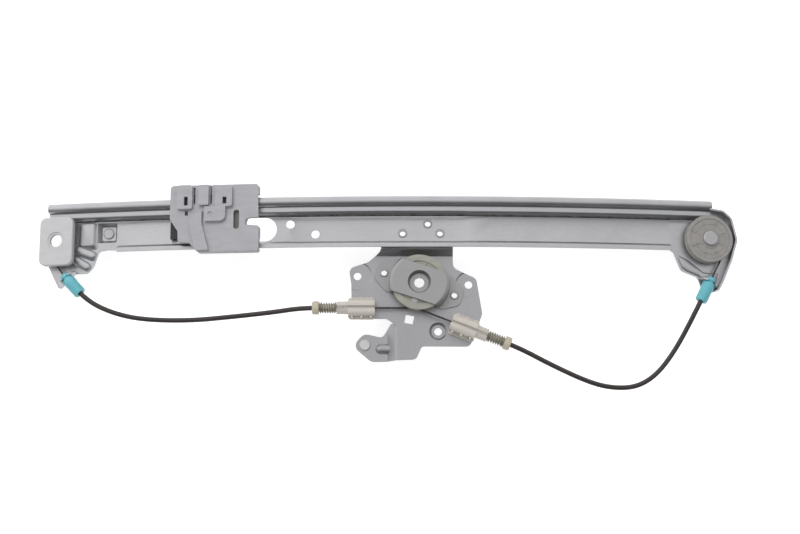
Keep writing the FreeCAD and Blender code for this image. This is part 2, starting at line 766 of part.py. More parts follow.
def make_cap(guide, z):
    """Sprung end cap: flanged head over the housing and a tube that slides in the guide."""
    start = guide_length + neck_length + spring_gap
    end = start + cap_length
    head = rod(cap_radius, start, end)
    head = head.makeChamfer(0.8, [head.Edges[0]])
    tube = rod(cap_tube_radius, start - cap_tube_reach, start + 1)
    bore = rod(conduit_diameter / 2 + running_gap, end - 9.0, end + 1)
    cable = rod(cable_diameter / 2 + running_gap, start - cap_tube_reach - 1, end)
    return guide_place(fuse([head, tube]).cut(bore.fuse(cable)), guide, z)


# Sleeves and cords

def make_sleeve(position, degrees, s):
    """Housing sleeve that snaps into the tab: collar, neck, flange and long barrel."""
    t = rail_sheet / 2 + 0.05
    radius = sleeve_flange
    profile = [(cable_diameter / 2 + running_gap, -t - 3.6), (sleeve_collar - 0.8, -t - 3.6),
               (sleeve_collar, -t - 2.8), (sleeve_collar, -t), (sleeve_neck - 0.05, -t),
               (sleeve_neck - 0.05, t), (radius, t), (radius, t + 1.6), (sleeve_radius, t + 1.6),
               (sleeve_radius, t + sleeve_length - 1.5), (sleeve_radius - 1.4, t + sleeve_length),
               (cable_diameter / 2 + running_gap, t + sleeve_length)]
    sleeve = turned(profile)
    sleeve.rotate(V(0, 0, 0), V(0, 1, 0), 90)
    sleeve.rotate(V(0, 0, 0), V(0, 0, 1), degrees)
    sleeve.translate(V(position[0], position[1], cable_height))
    return on_rail(on_web(sleeve), s)


def rail_point(x, y, s, height=cable_height):
    """Point in the frame of the rail at s: x along the tangent, y across, height from the web."""
    vertex = on_rail(Part.Vertex(x, y, web_back + height), s)
    return V(vertex.X, vertex.Y, vertex.Z)


def tube_through(points, radius, show=None):
    """Round tube along straight runs joined by arcs as large as the shorter run allows."""
    edges = []
    last = points[0]
    radii = []
    for i in range(1, len(points) - 1):
        before = points[i - 1] - points[i]
        after = points[i + 1] - points[i]
        turn = math.pi - before.getAngle(after)
        shorter = min(before.Length, after.Length)
        bend = 0.45 * shorter / math.tan(turn / 2)
        radii.append(bend)
        reach = 0.45 * shorter
        a = points[i] + before.normalize() * reach
        b = points[i] + after.normalize() * reach
        inward = (before + after).normalize()
        distance = bend / math.cos(turn / 2) - bend
        edges.append(Part.LineSegment(last, a).toShape())
        edges.append(Part.Arc(a, points[i] + inward * distance, b).toShape())
        last = b
    edges.append(Part.LineSegment(last, points[-1]).toShape())
    path = Part.Wire(edges)
    start_direction = (points[1] - points[0]).normalize()
    section = Part.Wire(Part.makeCircle(radius, points[0], start_direction))
    tube = path.makePipeShell([section], True, False)
    if show:
        expected = math.pi * radius ** 2 * path.Length
        print(show, "length %.1f" % path.Length, "volume ratio %.4f" % (tube.Volume / expected),
              "radii", " ".join("%.0f" % r for r in radii))
    return tube


def make_rail_cable():
    """Steel cable from sleeve to sleeve: round the deflector, along the rail, round the pulley."""
    dx, dy = polar(sleeve_length, left_sleeve_angle)
    far = rail_point(left_tab[0] + dx, left_tab[1] + dy, left_turn)
    near_x, near_y = polar(-7.0, left_sleeve_angle)
    near = (left_tab[0] + near_x, left_tab[1] + near_y)
    span = math.hypot(near[0], near[1] - deflector_y)
    lean = math.degrees(math.atan2(deflector_y - near[1], -near[0]))
    leave = lean + math.degrees(math.asin(deflector_radius / span))
    touch = polar(deflector_radius, leave + 90)
    touch_point = (touch[0], touch[1] + deflector_y)
    mid_angle = (leave + 90 + 90) / 2
    mid = polar(deflector_radius, mid_angle)
    top_left = rail_point(0, cable_y, left_turn)
    top_right = rail_point(0, cable_y, pulley_s)
    rail_middle = rail_point(0, cable_y, (left_turn + pulley_s) / 2)
    tangent = right_tangent()
    right_mid = polar(pulley_groove_radius, (90 + right_sleeve_angle + 90 - 360) / 2)
    reach = right_tab_run + rail_sheet / 2 + sleeve_length
    ex, ey = polar(reach, right_sleeve_angle)
    end = rail_point(tangent[0] + ex, tangent[1] + ey, pulley_s)
    corner = bend_at((left_tab[0] + dx, left_tab[1] + dy), near, touch_point, 40.0)
    a, m, b = [rail_point(p[0], p[1], left_turn) for p in corner]
    edges = [Part.LineSegment(far, a).toShape(), Part.Arc(a, m, b).toShape(),
             Part.LineSegment(b, rail_point(touch_point[0], touch_point[1], left_turn)).toShape(),
             Part.Arc(rail_point(touch_point[0], touch_point[1], left_turn),
                      rail_point(mid[0], mid[1] + deflector_y, left_turn), top_left).toShape(),
             Part.Arc(top_left, rail_middle, top_right).toShape(),
             Part.Arc(top_right, rail_point(right_mid[0], right_mid[1] + pulley_y, pulley_s),
                      rail_point(tangent[0], tangent[1], pulley_s)).toShape(),
             Part.LineSegment(rail_point(tangent[0], tangent[1], pulley_s), end).toShape()]
    path = Part.Wire(edges)
    section = Part.Wire(Part.makeCircle(cable_diameter / 2, far, (a - far).normalize()))
    return path.makePipeShell([section], True, False)


def make_drum_cable(guide, z, sweep):
    """Cable from a guide to the drum and round it in its own groove."""
    touch_angle = -90.0 if sweep > 0 else right_guide_angle - 90.0
    tx, ty = polar(drum_wrap, touch_angle)
    mx, my = polar(drum_wrap, touch_angle + sweep / 2)
    ex, ey = polar(drum_wrap, touch_angle + sweep)
    run = guide_length + neck_length + spring_gap + cap_length - 8.0
    gx, gy = polar(run, guide[2])
    start = V(guide[0] + gx, guide[1] + gy, z)
    touch = V(tx, ty, z)
    edges = [Part.LineSegment(start, touch).toShape(),
             Part.Arc(touch, V(mx, my, z), V(ex, ey, z)).toShape()]
    section = Part.Wire(Part.makeCircle(cable_diameter / 2, start, (touch - start).normalize()))
    return Part.Wire(edges).makePipeShell([section], True, False)


def sleeve_end(position, degrees, s):
    reach = rail_sheet / 2 + 0.05 + sleeve_length
    dx, dy = polar(reach, degrees)
    here = rail_point(position[0] + dx, position[1] + dy, s)
    dx, dy = polar(reach + 10.0, degrees)
    ahead = rail_point(position[0] + dx, position[1] + dy, s)
    return here, (ahead - here).normalize()


def cap_entry(guide, z, inside):
    """Point on the guide's axis, inside the cap by the given depth."""
    run = guide_length + neck_length + spring_gap + cap_length - inside
    dx, dy = polar(run, guide[2])
    return V(guide[0] + dx, guide[1] + dy, z)


def left_route():
    here, ahead = sleeve_end(left_tab, left_sleeve_angle, left_turn)
    return [here, here + ahead * 12.0, V(-246.5, -22.4, -6.0), V(-222.0, -27.9, -4.1),
            V(-184.0, -29.2, -1.2), V(-148.0, -26.2, 1.5), V(-117.0, -23.2, 4.3),
            cap_entry(left_guide, left_cable_z, -8.0), cap_entry(left_guide, left_cable_z, 7.0)]


def right_route():
    here, ahead = sleeve_end(right_tab_place(), right_sleeve_angle, pulley_s)
    guide = right_guide()
    return [cap_entry(guide, right_cable_z, 7.0), cap_entry(guide, right_cable_z, -8.0),
            V(104.0, -65.6, 7.0), V(133.0, -78.6, 3.2), V(152.0, -83.4, 0.4),
            V(173.0, -82.6, -2.8), V(190.5, -71.8, -5.6), V(206.8, -50.6, -8.2),
            here + ahead * 15.0, here]


# Glass carrier with its shoes and cable ends

def rail_envelope(gap, low):
    """Space that the rail takes up, with a gap round it, open to the back above the low level."""
    bead = bead_height + gap
    strip = strip_height + rail_sheet + gap
    web = rail_sheet + gap + rivet_room
    corners = [(rail_low_y - gap, low), (rail_low_y - gap, strip), (web_low_y + gap, strip),
               (web_low_y + gap + 1, web), (web_high_y - gap - 1, web), (web_high_y - gap, strip),
               (bead_low_y - gap, strip), (bead_low_y - gap, bead), (rail_high_y + gap, bead),
               (rail_high_y + gap, low)]
    return outline([(y, h, 0) for y, h in corners], section_place)


def make_carrier():
    """Moulded glass carrier: plate over the rail, bosses, ribs and the glass clamp notch."""
    body_corners = [(-35.2, 79.6, 3), (-35.2, 52, 5), (-28.6, 42, 3), (-28.2, 32.8, 2),
                    (-19.2, 32.6, 2), (-12, 24.8, 3), (37.6, 24.6, 2.5), (37.6, 45.2, 1.5),
                    (26.6, 46.2, 1), (26.6, 51.0, 2), (31, 52, 2), (37.2, 52.2, 1), (36.9, 79.6, 2)]
    skirt = prism(outline(body_corners), 3.4, carrier_face)
    envelope = along_rail(rail_envelope(slide_gap + shoe_wall, -4), -60, 60)
    raised = [[(-29, 79.2, 2), (-29, 59.5, 2), (-16.4, 59.5, 2), (-16.4, 79.2, 2)],
              [(-11.4, 79.2, 1), (-11.4, 62.6, 1), (-3.0, 62.6, 1), (-3.0, 79.2, 1)],
              [(2.2, 78.4, 2), (2.2, 61.0, 2), (16.2, 61.0, 2), (16.2, 78.4, 2)],
              [(-6.4, 61.4, 1), (-6.4, 49.2, 1), (10.9, 49.2, 5), (10.9, 61.4, 1)],
              [(-19.4, 49.2, 1), (-13.4, 25.6, 1), (-2.4, 25.6, 1), (-8.4, 47.0, 2),
               (-8.4, 60.0, 1)]]
    parts = [skirt]
    for corners in raised:
        parts.append(prism(outline(corners), carrier_face - 1, carrier_rib))
    body = on_web(fuse(parts))
    body = body.cut(envelope)
    cuts = [block(-15.9, -14.6, 64.0, 77.6, carrier_face - 3, 30),
            block(-2.2, -0.9, 64.0, 79.8, carrier_face - 3, 30),
            block(-23.2, -20.0, 62.4, 69.6, -10, 30),
            block(8.4, 11.7, 63.2, 68.8, -10, 30),
            block(-23.0, -20.3, 54.8, 58.6, carrier_face - 4, 30),
            cylinder(1.8, carrier_face + 2.6, 30, -1.6, 55.2),
            prism(outline([(16.9, 43.0, 2.2), (21.6, 43.0, 2.2), (21.6, 58.6, 2.2),
                           (16.9, 58.6, 2.2)]), 2.0, 30)]
    for cut in cuts:
        on_web(cut)
    body = body.cut(fuse(cuts))
    channel = along_rail(section_band(cable_y - 2.5, cable_y + 2.5, -4, cable_height + 2.5), -60, 60)
    return on_rail(body.cut(channel), carrier_s)


def shoe(corners, start, end):
    return on_rail(along_rail(outline(corners, section_place), start, end), carrier_s)


def make_bead_shoe():
    """Slider that wraps the bead from the front and hooks under its free edge."""
    gap = slide_gap
    out = slide_gap + shoe_wall
    low = leg_height - gap
    corners = [(bead_low_y - out, strip_height + rail_sheet + gap + 0.2),
               (bead_low_y - gap, strip_height + rail_sheet + gap + 0.2),
               (bead_low_y - gap, bead_height + gap), (rail_high_y + gap, bead_height + gap),
               (rail_high_y + gap, low), (rail_high_y - 2.2, low), (rail_high_y - 2.2, low - 1.6),
               (rail_high_y + out, low - 1.6), (rail_high_y + out, bead_height + out),
               (bead_low_y - out, bead_height + out)]
    return shoe([(y, h, 0) for y, h in corners], -34.0, 34.0)


def make_edge_shoe():
    """Slider on the web and the lower strip, hooked round the rail's lower edge."""
    gap = slide_gap
    out = slide_gap + shoe_wall
    strip = strip_height + rail_sheet
    web = rail_sheet + gap + 0.9
    cover = rail_sheet + out + rivet_room
    lip_high = strip_height - gap
    corners = [(rail_low_y - out, lip_high - 1.5), (rail_low_y + 1.9, lip_high - 1.5),
               (rail_low_y + 1.9, lip_high), (rail_low_y - gap, lip_high),
               (rail_low_y - gap, strip + gap), (web_low_y + gap, strip + gap),
               (web_low_y + gap + 1.2, web), (cable_y - 2.8, web), (cable_y - 2.8, cover),
               (web_low_y + out + 1, cover), (web_low_y + out, strip + out),
               (rail_low_y - out, strip + out)]
    return shoe([(y, h, 0) for y, h in corners], -36.2, 25.0)


def make_carrier_nipples():
    """Two cable ends held in the carrier."""
    ends = []
    for x0, x1 in ((-33.0, -27.0), (16.9, 21.6)):
        start = x0
        ring_out = Part.Wire(Part.makeCircle(2.2, V(0, cable_y, web_back + cable_height),
                                             V(1, 0, 0)))
        ring_in = Part.Wire(Part.makeCircle(cable_diameter / 2 + running_gap,
                                            V(0, cable_y, web_back + cable_height), V(1, 0, 0)))
        outer = along_rail(ring_out, start, x1)
        inner = along_rail(ring_in, start - 1, x1 + 1)
        ends.append(on_rail(outer.cut(inner), carrier_s))
    return Part.makeCompound(ends)


def build():
    os.makedirs("parts", exist_ok=True)
    guides = {"left": (left_guide, left_cable_z), "right": (right_guide(), right_cable_z)}
    nodes = {"guide_rail": make_guide_rail(),
             "cable_deflector": make_deflector(),
             "return_pulley": make_pulley(),
             "pulley_axle": make_axle(),
             "rail_stud": make_rail_stud(),
             "arm_stud": make_arm_stud(),
             "motor_plate": make_motor_plate(),
             "plate_rivets": make_plate_rivets(),
             "cable_drum": make_drum(),
             "drum_nipple": make_drum_nipple(),
             "drum_cover": make_cover(),
             "cover_rivets": make_cover_rivets(),
             "left_sleeve": make_sleeve(left_tab, left_sleeve_angle, left_turn),
             "right_sleeve": make_sleeve(right_tab_place(), right_sleeve_angle, pulley_s),
             "rail_cable": make_rail_cable(),
             "left_drum_cable": make_drum_cable(left_guide, left_cable_z, 300.0),
             "right_drum_cable": make_drum_cable(right_guide(), right_cable_z, -300.0),
             "left_conduit": tube_through(left_route(), conduit_diameter / 2, "left conduit"),
             "right_conduit": tube_through(right_route(), conduit_diameter / 2, "right conduit"),
             "glass_carrier": make_carrier(),
             "bead_shoe": make_bead_shoe(),
             "edge_shoe": make_edge_shoe(),
             "carrier_cable_ends": make_carrier_nipples()}
    for side, (guide, z) in guides.items():
        nodes[side + "_cable_guide"] = make_guide(guide, z)
        nodes[side + "_tension_spring"] = make_spring(guide, z)
        nodes[side + "_tension_cap"] = make_cap(guide, z)
    for name, shape in nodes.items():
        shape.exportStep(os.path.join("parts", name + ".step"))
        print("%-22s solids %d valid %s volume %.0f" % (name, len(shape.Solids), shape.isValid(),
                                                       shape.Volume))


build()
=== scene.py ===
import json
import math

import bmesh
import bpy
from mathutils import Matrix, Vector

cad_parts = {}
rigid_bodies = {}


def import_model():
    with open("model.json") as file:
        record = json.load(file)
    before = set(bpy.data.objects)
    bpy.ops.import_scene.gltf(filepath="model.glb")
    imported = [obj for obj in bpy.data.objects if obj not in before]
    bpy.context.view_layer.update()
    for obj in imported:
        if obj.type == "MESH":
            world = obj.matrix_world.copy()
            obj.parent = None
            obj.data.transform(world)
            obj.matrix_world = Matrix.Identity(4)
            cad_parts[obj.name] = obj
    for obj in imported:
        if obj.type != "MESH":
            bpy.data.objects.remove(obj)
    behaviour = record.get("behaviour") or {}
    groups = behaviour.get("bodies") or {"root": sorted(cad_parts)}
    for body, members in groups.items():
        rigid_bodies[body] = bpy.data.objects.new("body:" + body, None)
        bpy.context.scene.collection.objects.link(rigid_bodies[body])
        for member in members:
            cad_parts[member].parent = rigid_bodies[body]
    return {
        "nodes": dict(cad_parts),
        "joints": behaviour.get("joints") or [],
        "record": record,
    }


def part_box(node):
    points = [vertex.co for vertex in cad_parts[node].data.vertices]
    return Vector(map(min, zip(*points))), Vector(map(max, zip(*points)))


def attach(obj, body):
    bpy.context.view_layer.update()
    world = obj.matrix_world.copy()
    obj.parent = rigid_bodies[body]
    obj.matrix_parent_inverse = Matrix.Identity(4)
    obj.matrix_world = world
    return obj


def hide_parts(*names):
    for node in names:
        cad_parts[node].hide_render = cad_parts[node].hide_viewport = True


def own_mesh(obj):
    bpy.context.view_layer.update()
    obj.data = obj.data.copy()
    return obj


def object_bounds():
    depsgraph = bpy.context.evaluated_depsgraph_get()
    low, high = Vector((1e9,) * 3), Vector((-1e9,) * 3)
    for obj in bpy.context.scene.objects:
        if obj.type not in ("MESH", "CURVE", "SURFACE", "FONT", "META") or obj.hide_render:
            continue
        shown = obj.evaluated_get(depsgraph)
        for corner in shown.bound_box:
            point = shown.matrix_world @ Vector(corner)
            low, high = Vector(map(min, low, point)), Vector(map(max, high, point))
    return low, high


bl_info = {
    "name": "Window Regulator",
    "version": (1, 0, 0),
    "blender": (4, 5, 0),
    "location": "View3D > Sidebar > Regulator",
    "description": "Dresses a cable window regulator and sets it in a pale studio",
    "category": "Object",
}

for leftover in list(bpy.data.objects):
    bpy.data.objects.remove(leftover)
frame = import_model()
cad_low, cad_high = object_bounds()
nodes = frame["nodes"]
joints = {joint["name"]: joint for joint in frame["joints"]}
mounts = {mount["name"]: mount for mount in frame["record"]["mounts"]}

FRAME_BODY = "frame"

# Metres, as the solids have them: the rail's arc, the two sheets and the cable over the rail
RAIL_RADIUS = 1.5
WEB_BACK = 0.010
RAIL_SHEET = 0.0015
PLATE_SHEET = 0.0018
ARM_DROP = 0.008
CABLE_HEIGHT = 0.006

# Places along the rail's arc of its two ends and the carrier, and of the pulley across it
PULLEY_S = 0.235
DEFLECTOR_S = -0.295
CARRIER_S = -0.165
PULLEY_Y = 0.0377

# Room cut round the screw at the left end, in millimetres: its place, radius and foot
SCREW_SPOT = (-3.0, 37.7)
SCREW_ROOM = 8.0
SCREW_LOW = -6.0

# Forms at the rail's ends: corners as x, y and rounding in millimetres, rises in metres
RIDGE_FOOT = [(15.2, 31.0, 3), (31.6, 31.0, 3), (31.6, 55.3, 3), (15.2, 55.3, 3)]
RIDGE_CROWN = [(18.6, 34.6, 2), (28.2, 34.6, 2), (28.2, 53.4, 2), (18.6, 53.4, 2)]
RIDGE_RISE = 0.0026
STEP_FOOT = [(8.5, 10.6, 1), (5.5, -1.0, 1), (-4.0, 1.5, 1), (-8.2, 7.8, 2), (-18.0, 11.6, 3),
             (-22.2, 14.8, 3), (-26.0, 25.4, 1), (-16.5, 20.9, 5), (-4.1, 11.2, 5)]
STEP_CROWN = [(7.7, 9.6, 1), (4.8, 0.0, 1), (-3.5, 2.3, 1), (-7.6, 8.7, 2), (-17.5, 12.4, 3),
              (-21.5, 15.3, 3), (-24.7, 23.6, 1), (-16.9, 20.0, 5), (-4.5, 10.2, 5)]
STEP_RISE = 0.0009

# Beads: start and end in millimetres, half width and rise in metres
END_BEADS = {
    "left_end_bead_high": ((16.0, 30.6), (27.6, 26.0), 0.0040, 0.0028),
    "left_end_bead_low": ((14.0, 22.6), (23.2, 17.0), 0.0036, 0.0024),
}
ARM_BEAD = ((-31.0, -51.4), (-22.0, -51.4), 0.0040, 0.0028)

# Shallow rings pressed into the plate: x, y, radius and depth, and half the width of their step
PLATE_RINGS = [(-0.0496, 0.0066, 0.0114, 0.0006), (0.0396, -0.0004, 0.0102, 0.0006)]
RING_SLOPE = 0.0007

# Profiles in millimetres: radius and height, on a sleeve radius and reach along it
PULLEY_FACE = [(7.4, 7.9), (16.4, 7.9), (16.4, 9.1), (12.9, 9.1), (12.7, 9.4), (12.1, 9.4),
               (11.9, 9.1), (7.4, 9.1)]
DRUM_WEB = [(12.4, 8.8), (17.6, 8.8), (17.6, 11.9), (12.4, 11.9)]
SLEEVE_PROFILE = [(1.2, -4.0), (3.2, -4.0), (3.9, -3.4), (3.9, -0.9), (3.2, -0.9), (3.2, 0.9),
                  (4.9, 0.9), (5.1, 1.2), (5.1, 6.4), (4.9, 6.8), (4.9, 16.6), (4.4, 17.4),
                  (2.3, 17.4), (2.3, 14.0), (1.2, 14.0)]

# Carrier: outlines in millimetres of the shoe's cut corner and the slot's floor, a dark sheet
# painted as the shade in the slot, levels in metres
SHOE_NOTCH = [(-42.0, 18.0), (-11.5, 18.0), (-11.5, 37.2), (-42.0, 37.2)]
NOTCH_LEVELS = (-0.02, 0.03)
SLOT_FLOOR = [(17.0, 38.0), (23.0, 38.0), (23.0, 60.0), (17.0, 60.0)]
SLOT_FLOOR_LEVELS = (0.0074, 0.0082)

# Axes of the two sleeves: end of the rail, place on it and direction in degrees
SLEEVES = {
    "left_sleeve": (DEFLECTOR_S, (0.0083, 0.0071), -46.0),
    "right_sleeve": (PULLEY_S, (-0.000585, 0.002285), 242.2),
}

# Grooves over the cable in the two guides: start, direction in degrees and height of the cable
GUIDES = {
    "left_guide": ((-0.0354, -0.0200), 180.0, 0.0066),
    "right_guide": ((0.025607, -0.031582), -21.5, 0.0094),
}
# Reach along a groove in metres with its crown, and its section, in millimetres over the cable
GROOVE_STEPS = [(0.0002, 5.0), (0.0252, 5.0), (0.0254, 5.5), (0.0304, 5.5)]
GROOVE_HALF = 1.12
GROOVE_BED = 0.5
GROOVE_DEPTH = 0.35
GROOVE_FOOT = 3.8
# Colour of a groove as a share of its guide's, darker as painted shade in the groove
GROOVE_PAINTED_SHADE = 0.66

# Angle of a strand across its cable, in degrees, and waves per metre of the strands' pattern
STRAND_SLANT = 25.0
STRAND_WAVE = 400.0

# Thread: bare length and shift along its axis in pitches, sink and wire radius in depths
THREAD_BARE = 3
THREAD_SHIFT = 1.2
THREAD_SINK = 0.4
THREAD_WIRE = 1.3
# Pitch of a spring's closed turns, in diameters of its wire
CLOSED_PITCH = 1.08

# Fineness of round forms
CORNER_STEPS = 6
CAP_STEPS = 12
BEAD_STEPS = 9
ROUND_SIDES = 64
TURNED_SIDES = 96

# Depth of a form's foot in its sheet
FOOT_SINK = 0.0004

# Gloss of the room: weight of height in the slope from front to back, the slope's range, the
# strengths at its two ends, and the change of strength to the right
GLOSS_LIFT = 0.25
GLOSS_SLOPE = (-0.35, 0.36)
GLOSS_STRENGTHS = (0.10, 1.12)
GLOSS_SIDE = -0.28

# Floor: its own light, half its width, and its distance below the solids
FLOOR_LIGHT = 0.63
FLOOR_REACH = 6.0
FLOOR_GAP = 0.0002

# Centre lines of the two cable housings
LEFT_ROUTE = [
    (-0.27605, -0.00355, -0.00940),
    (-0.26788, -0.01218, -0.00777),
    (-0.24650, -0.02240, -0.00600),
    (-0.22200, -0.02790, -0.00410),
    (-0.18400, -0.02920, -0.00120),
    (-0.14800, -0.02620, 0.00150),
    (-0.11700, -0.02320, 0.00430),
    (-0.09360, -0.02000, 0.00660),
    (-0.07860, -0.02000, 0.00660),
]
RIGHT_ROUTE = [
    (0.06580, -0.04742, 0.00940),
    (0.07976, -0.05291, 0.00940),
    (0.10400, -0.06560, 0.00700),
    (0.13300, -0.07860, 0.00320),
    (0.15200, -0.08340, 0.00040),
    (0.17300, -0.08260, -0.00280),
    (0.19050, -0.07180, -0.00560),
    (0.20680, -0.05060, -0.00820),
    (0.22067, -0.02408, -0.00018),
    (0.22758, -0.01081, -0.00128),
]


def tone(red, green, blue):
    """Linear colour from the 0 to 255 values of a plain screen colour."""
    linear = []
    for value in (red, green, blue):
        share = value / 255
        linear.append(share / 12.92 if share <= 0.04045 else ((share + 0.055) / 1.055) ** 2.4)
    return tuple(linear)


def colour_choice(label, description, red, green, blue):
    return bpy.props.FloatVectorProperty(
        name=label, description=description, subtype="COLOR", size=3, min=0.0, max=1.0,
        default=tone(red, green, blue))


def length_choice(label, description, metres):
    return bpy.props.FloatProperty(
        name=label, description=description, unit="LENGTH", precision=5, default=metres)


class StudioSettings(bpy.types.PropertyGroup):
    """Camera, lamps and floor."""
    target: bpy.props.FloatVectorProperty(
        name="Target", description="Point that the camera looks at", subtype="TRANSLATION",
        unit="LENGTH", size=3, default=(-0.0154, 0.0126, 0.010))
    elevation: bpy.props.FloatProperty(
        name="Elevation", description="Height of the camera above the horizon",
        subtype="ANGLE", unit="ROTATION", default=math.radians(79))
    distance: length_choice("Distance", "From the camera to its target", 1.25)
    focal_length: bpy.props.FloatProperty(
        name="Focal Length", description="Lens of the camera, in millimetres", default=70.3)
    key_power: bpy.props.FloatProperty(
        name="Key", description="Power of the large lamp over the rail side", unit="POWER",
        default=13.0)
    fill_power: bpy.props.FloatProperty(
        name="Fill", description="Power of the soft lamp over the plate side", unit="POWER",
        default=2.0)
    room_light: bpy.props.FloatProperty(
        name="Room", description="Strength of the light that comes from all round",
        default=0.46)
    floor_colour: colour_choice("Floor", "Colour of the floor", 242, 242, 242)


class SteelSettings(bpy.types.PropertyGroup):
    """Colours of the metal pieces and the scale of their marks."""
    rail: colour_choice("Rail", "Galvanised rail", 184, 184, 187)
    plate: colour_choice("Plate", "Motor plate", 171, 171, 174)
    cover: colour_choice("Cover", "Drum cover", 164, 164, 165)
    rivet: colour_choice("Rivets", "Tubular rivets", 165, 165, 166)
    stud: colour_choice("Studs", "Turned studs and axle", 178, 178, 181)
    arm_stud: colour_choice("Arm Stud", "Stud in the plate's arm", 208, 208, 208)
    spring: colour_choice("Springs", "Spring wire", 150, 146, 138)
    rope: colour_choice("Cable", "Greased steel cable", 96, 94, 92)
    streak_size: length_choice("Streaks", "Width of the rolling streaks", 0.0012)
    speckle_size: length_choice("Speckle", "Size of the zinc's speckle", 0.0008)


class MouldingSettings(bpy.types.PropertyGroup):
    """Colours of the moulded pieces."""
    deflector: colour_choice("Deflector", "Pale moulding at the left end", 207, 206, 208)
    carrier: colour_choice("Carrier", "Glass carrier", 178, 178, 182)
    shoe: colour_choice("Shoes", "Sliding shoes of the carrier", 42, 43, 47)
    # Colour of the slot floor is painted shade: a dark sheet stands for the shade in the slot
    slot_floor_painted_shade: colour_choice("Slot Floor", "Floor of the carrier's long slot", 112, 111, 108)
    pulley: colour_choice("Pulley", "Return pulley", 160, 157, 154)
    drum: colour_choice("Drum", "Cable drum", 168, 167, 157)
    guide: colour_choice("Guides", "Milky cable guides", 214, 208, 200)
    cap: colour_choice("Caps", "Sprung end caps", 202, 194, 174)
    sleeve: colour_choice("Sleeves", "Turquoise housing sleeves", 116, 196, 208)
    housing: colour_choice("Housings", "Black cable housings", 50, 45, 44)
    grain_size: length_choice("Grain", "Size of the mould's grain", 0.0005)


class CordSettings(bpy.types.PropertyGroup):
    """Cable housings, cables, springs and threads."""
    housing_diameter: length_choice("Housing", "Outer diameter of a cable housing", 0.004)
    spring_turns: bpy.props.FloatProperty(
        name="Turns", description="Turns of a tension spring", default=7.5, min=3.0)
    spring_closed_turns: bpy.props.FloatProperty(
        name="Closed Turns", description="Turns that lie flat at each end", default=1.0)
    spring_radius: length_choice("Spring Radius", "Radius of the spring's wire line", 0.0041)
    spring_wire: length_choice("Spring Wire", "Diameter of the spring's wire", 0.001)
    spring_length: length_choice(
        "Spring Length", "Length of the wire line along the spring's axis", 0.0131)
    thread_pitch: length_choice("Pitch", "Pitch of the thread on the studs", 0.001)
    thread_depth: length_choice("Thread Depth", "Depth of the thread on the studs", 0.0003)


SETTINGS = {
    "regulator_studio": StudioSettings,
    "regulator_steel": SteelSettings,
    "regulator_moulding": MouldingSettings,
    "regulator_cord": CordSettings,
}


# Shader helpers

def shader_node(tree, kind, inputs=None, **settings):
    made = tree.nodes.new(kind)
    for name, value in settings.items():
        setattr(made, name, value)
    for socket, value in (inputs or {}).items():
        plug(tree, made.inputs[socket], value)
    return made


def plug(tree, socket, value):
    if isinstance(value, bpy.types.NodeSocket):
        tree.links.new(value, socket)
    elif hasattr(socket.default_value, "__len__") and len(socket.default_value) == 4:
        socket.default_value = (*value[:3], 1.0)
    else:
        socket.default_value = value


def calc(tree, operation, first, second=0.0, third=0.0):
    made = shader_node(tree, "ShaderNodeMath", {0: first, 1: second, 2: third},
                       operation=operation)
    return made.outputs[0]


def blend_colour(tree, share, first, second):
    made = shader_node(tree, "ShaderNodeMix", {"Factor": share, 6: first, 7: second},
                       data_type="RGBA")
    return made.outputs[2]


def scaled(colour, factor, lift=0.0):
    """Darker or lighter colour, at most white."""
    return tuple(min(value * factor + lift, 1.0) for value in colour)


def spread(tree, value, low=0.3, high=0.7, to_low=0.0, to_high=1.0):
    """Maps a range, unless given the middle of a noise, to another, clamped."""
    made = shader_node(tree, "ShaderNodeMapRange",
                       {0: value, 1: low, 2: high, 3: to_low, 4: to_high})
    return made.outputs[0]


def place(tree, stretch=(1.0, 1.0, 1.0), turn=(0.0, 0.0, 0.0)):
    coordinate = shader_node(tree, "ShaderNodeTexCoord")
    mapping = shader_node(tree, "ShaderNodeMapping",
                          {"Vector": coordinate.outputs["Object"], "Scale": stretch,
                           "Rotation": turn})
    return mapping.outputs["Vector"]


def grain(tree, size, detail=4.0, roughness=0.55, stretch=(1.0, 1.0, 1.0),
          turn=(0.0, 0.0, 0.0)):
    noise = shader_node(tree, "ShaderNodeTexNoise",
                        {"Vector": place(tree, stretch, turn), "Scale": 1.0 / size,
                         "Detail": detail, "Roughness": roughness})
    return noise.outputs["Fac"]


def worn_and_highlit_edges(tree, radius, share):
    """Mask for lightened edges, part wear and part painted highlight: one near an edge and nought
    on the flat, with a little break-up.
    """
    rounded = shader_node(tree, "ShaderNodeBevel", {"Radius": radius}, samples=6)
    geometry = shader_node(tree, "ShaderNodeNewGeometry")
    same = shader_node(tree, "ShaderNodeVectorMath",
                       {0: rounded.outputs["Normal"], 1: geometry.outputs["Normal"]},
                       operation="DOT_PRODUCT")
    edge = spread(tree, same.outputs["Value"], low=0.995, high=0.90)
    broken = spread(tree, grain(tree, size=0.002, detail=6.0), low=0.38, high=0.6, to_low=0.3)
    return calc(tree, "MULTIPLY", calc(tree, "MULTIPLY", edge, broken), share)


def soft_edges(tree, radius, height, strength, distance):
    """Surface normal with rounded edges and fine bumps."""
    rounded = shader_node(tree, "ShaderNodeBevel", {"Radius": radius}, samples=6)
    bump = shader_node(tree, "ShaderNodeBump",
                       {"Strength": strength, "Distance": distance, "Height": height,
                        "Normal": rounded.outputs["Normal"]})
    return bump.outputs["Normal"]


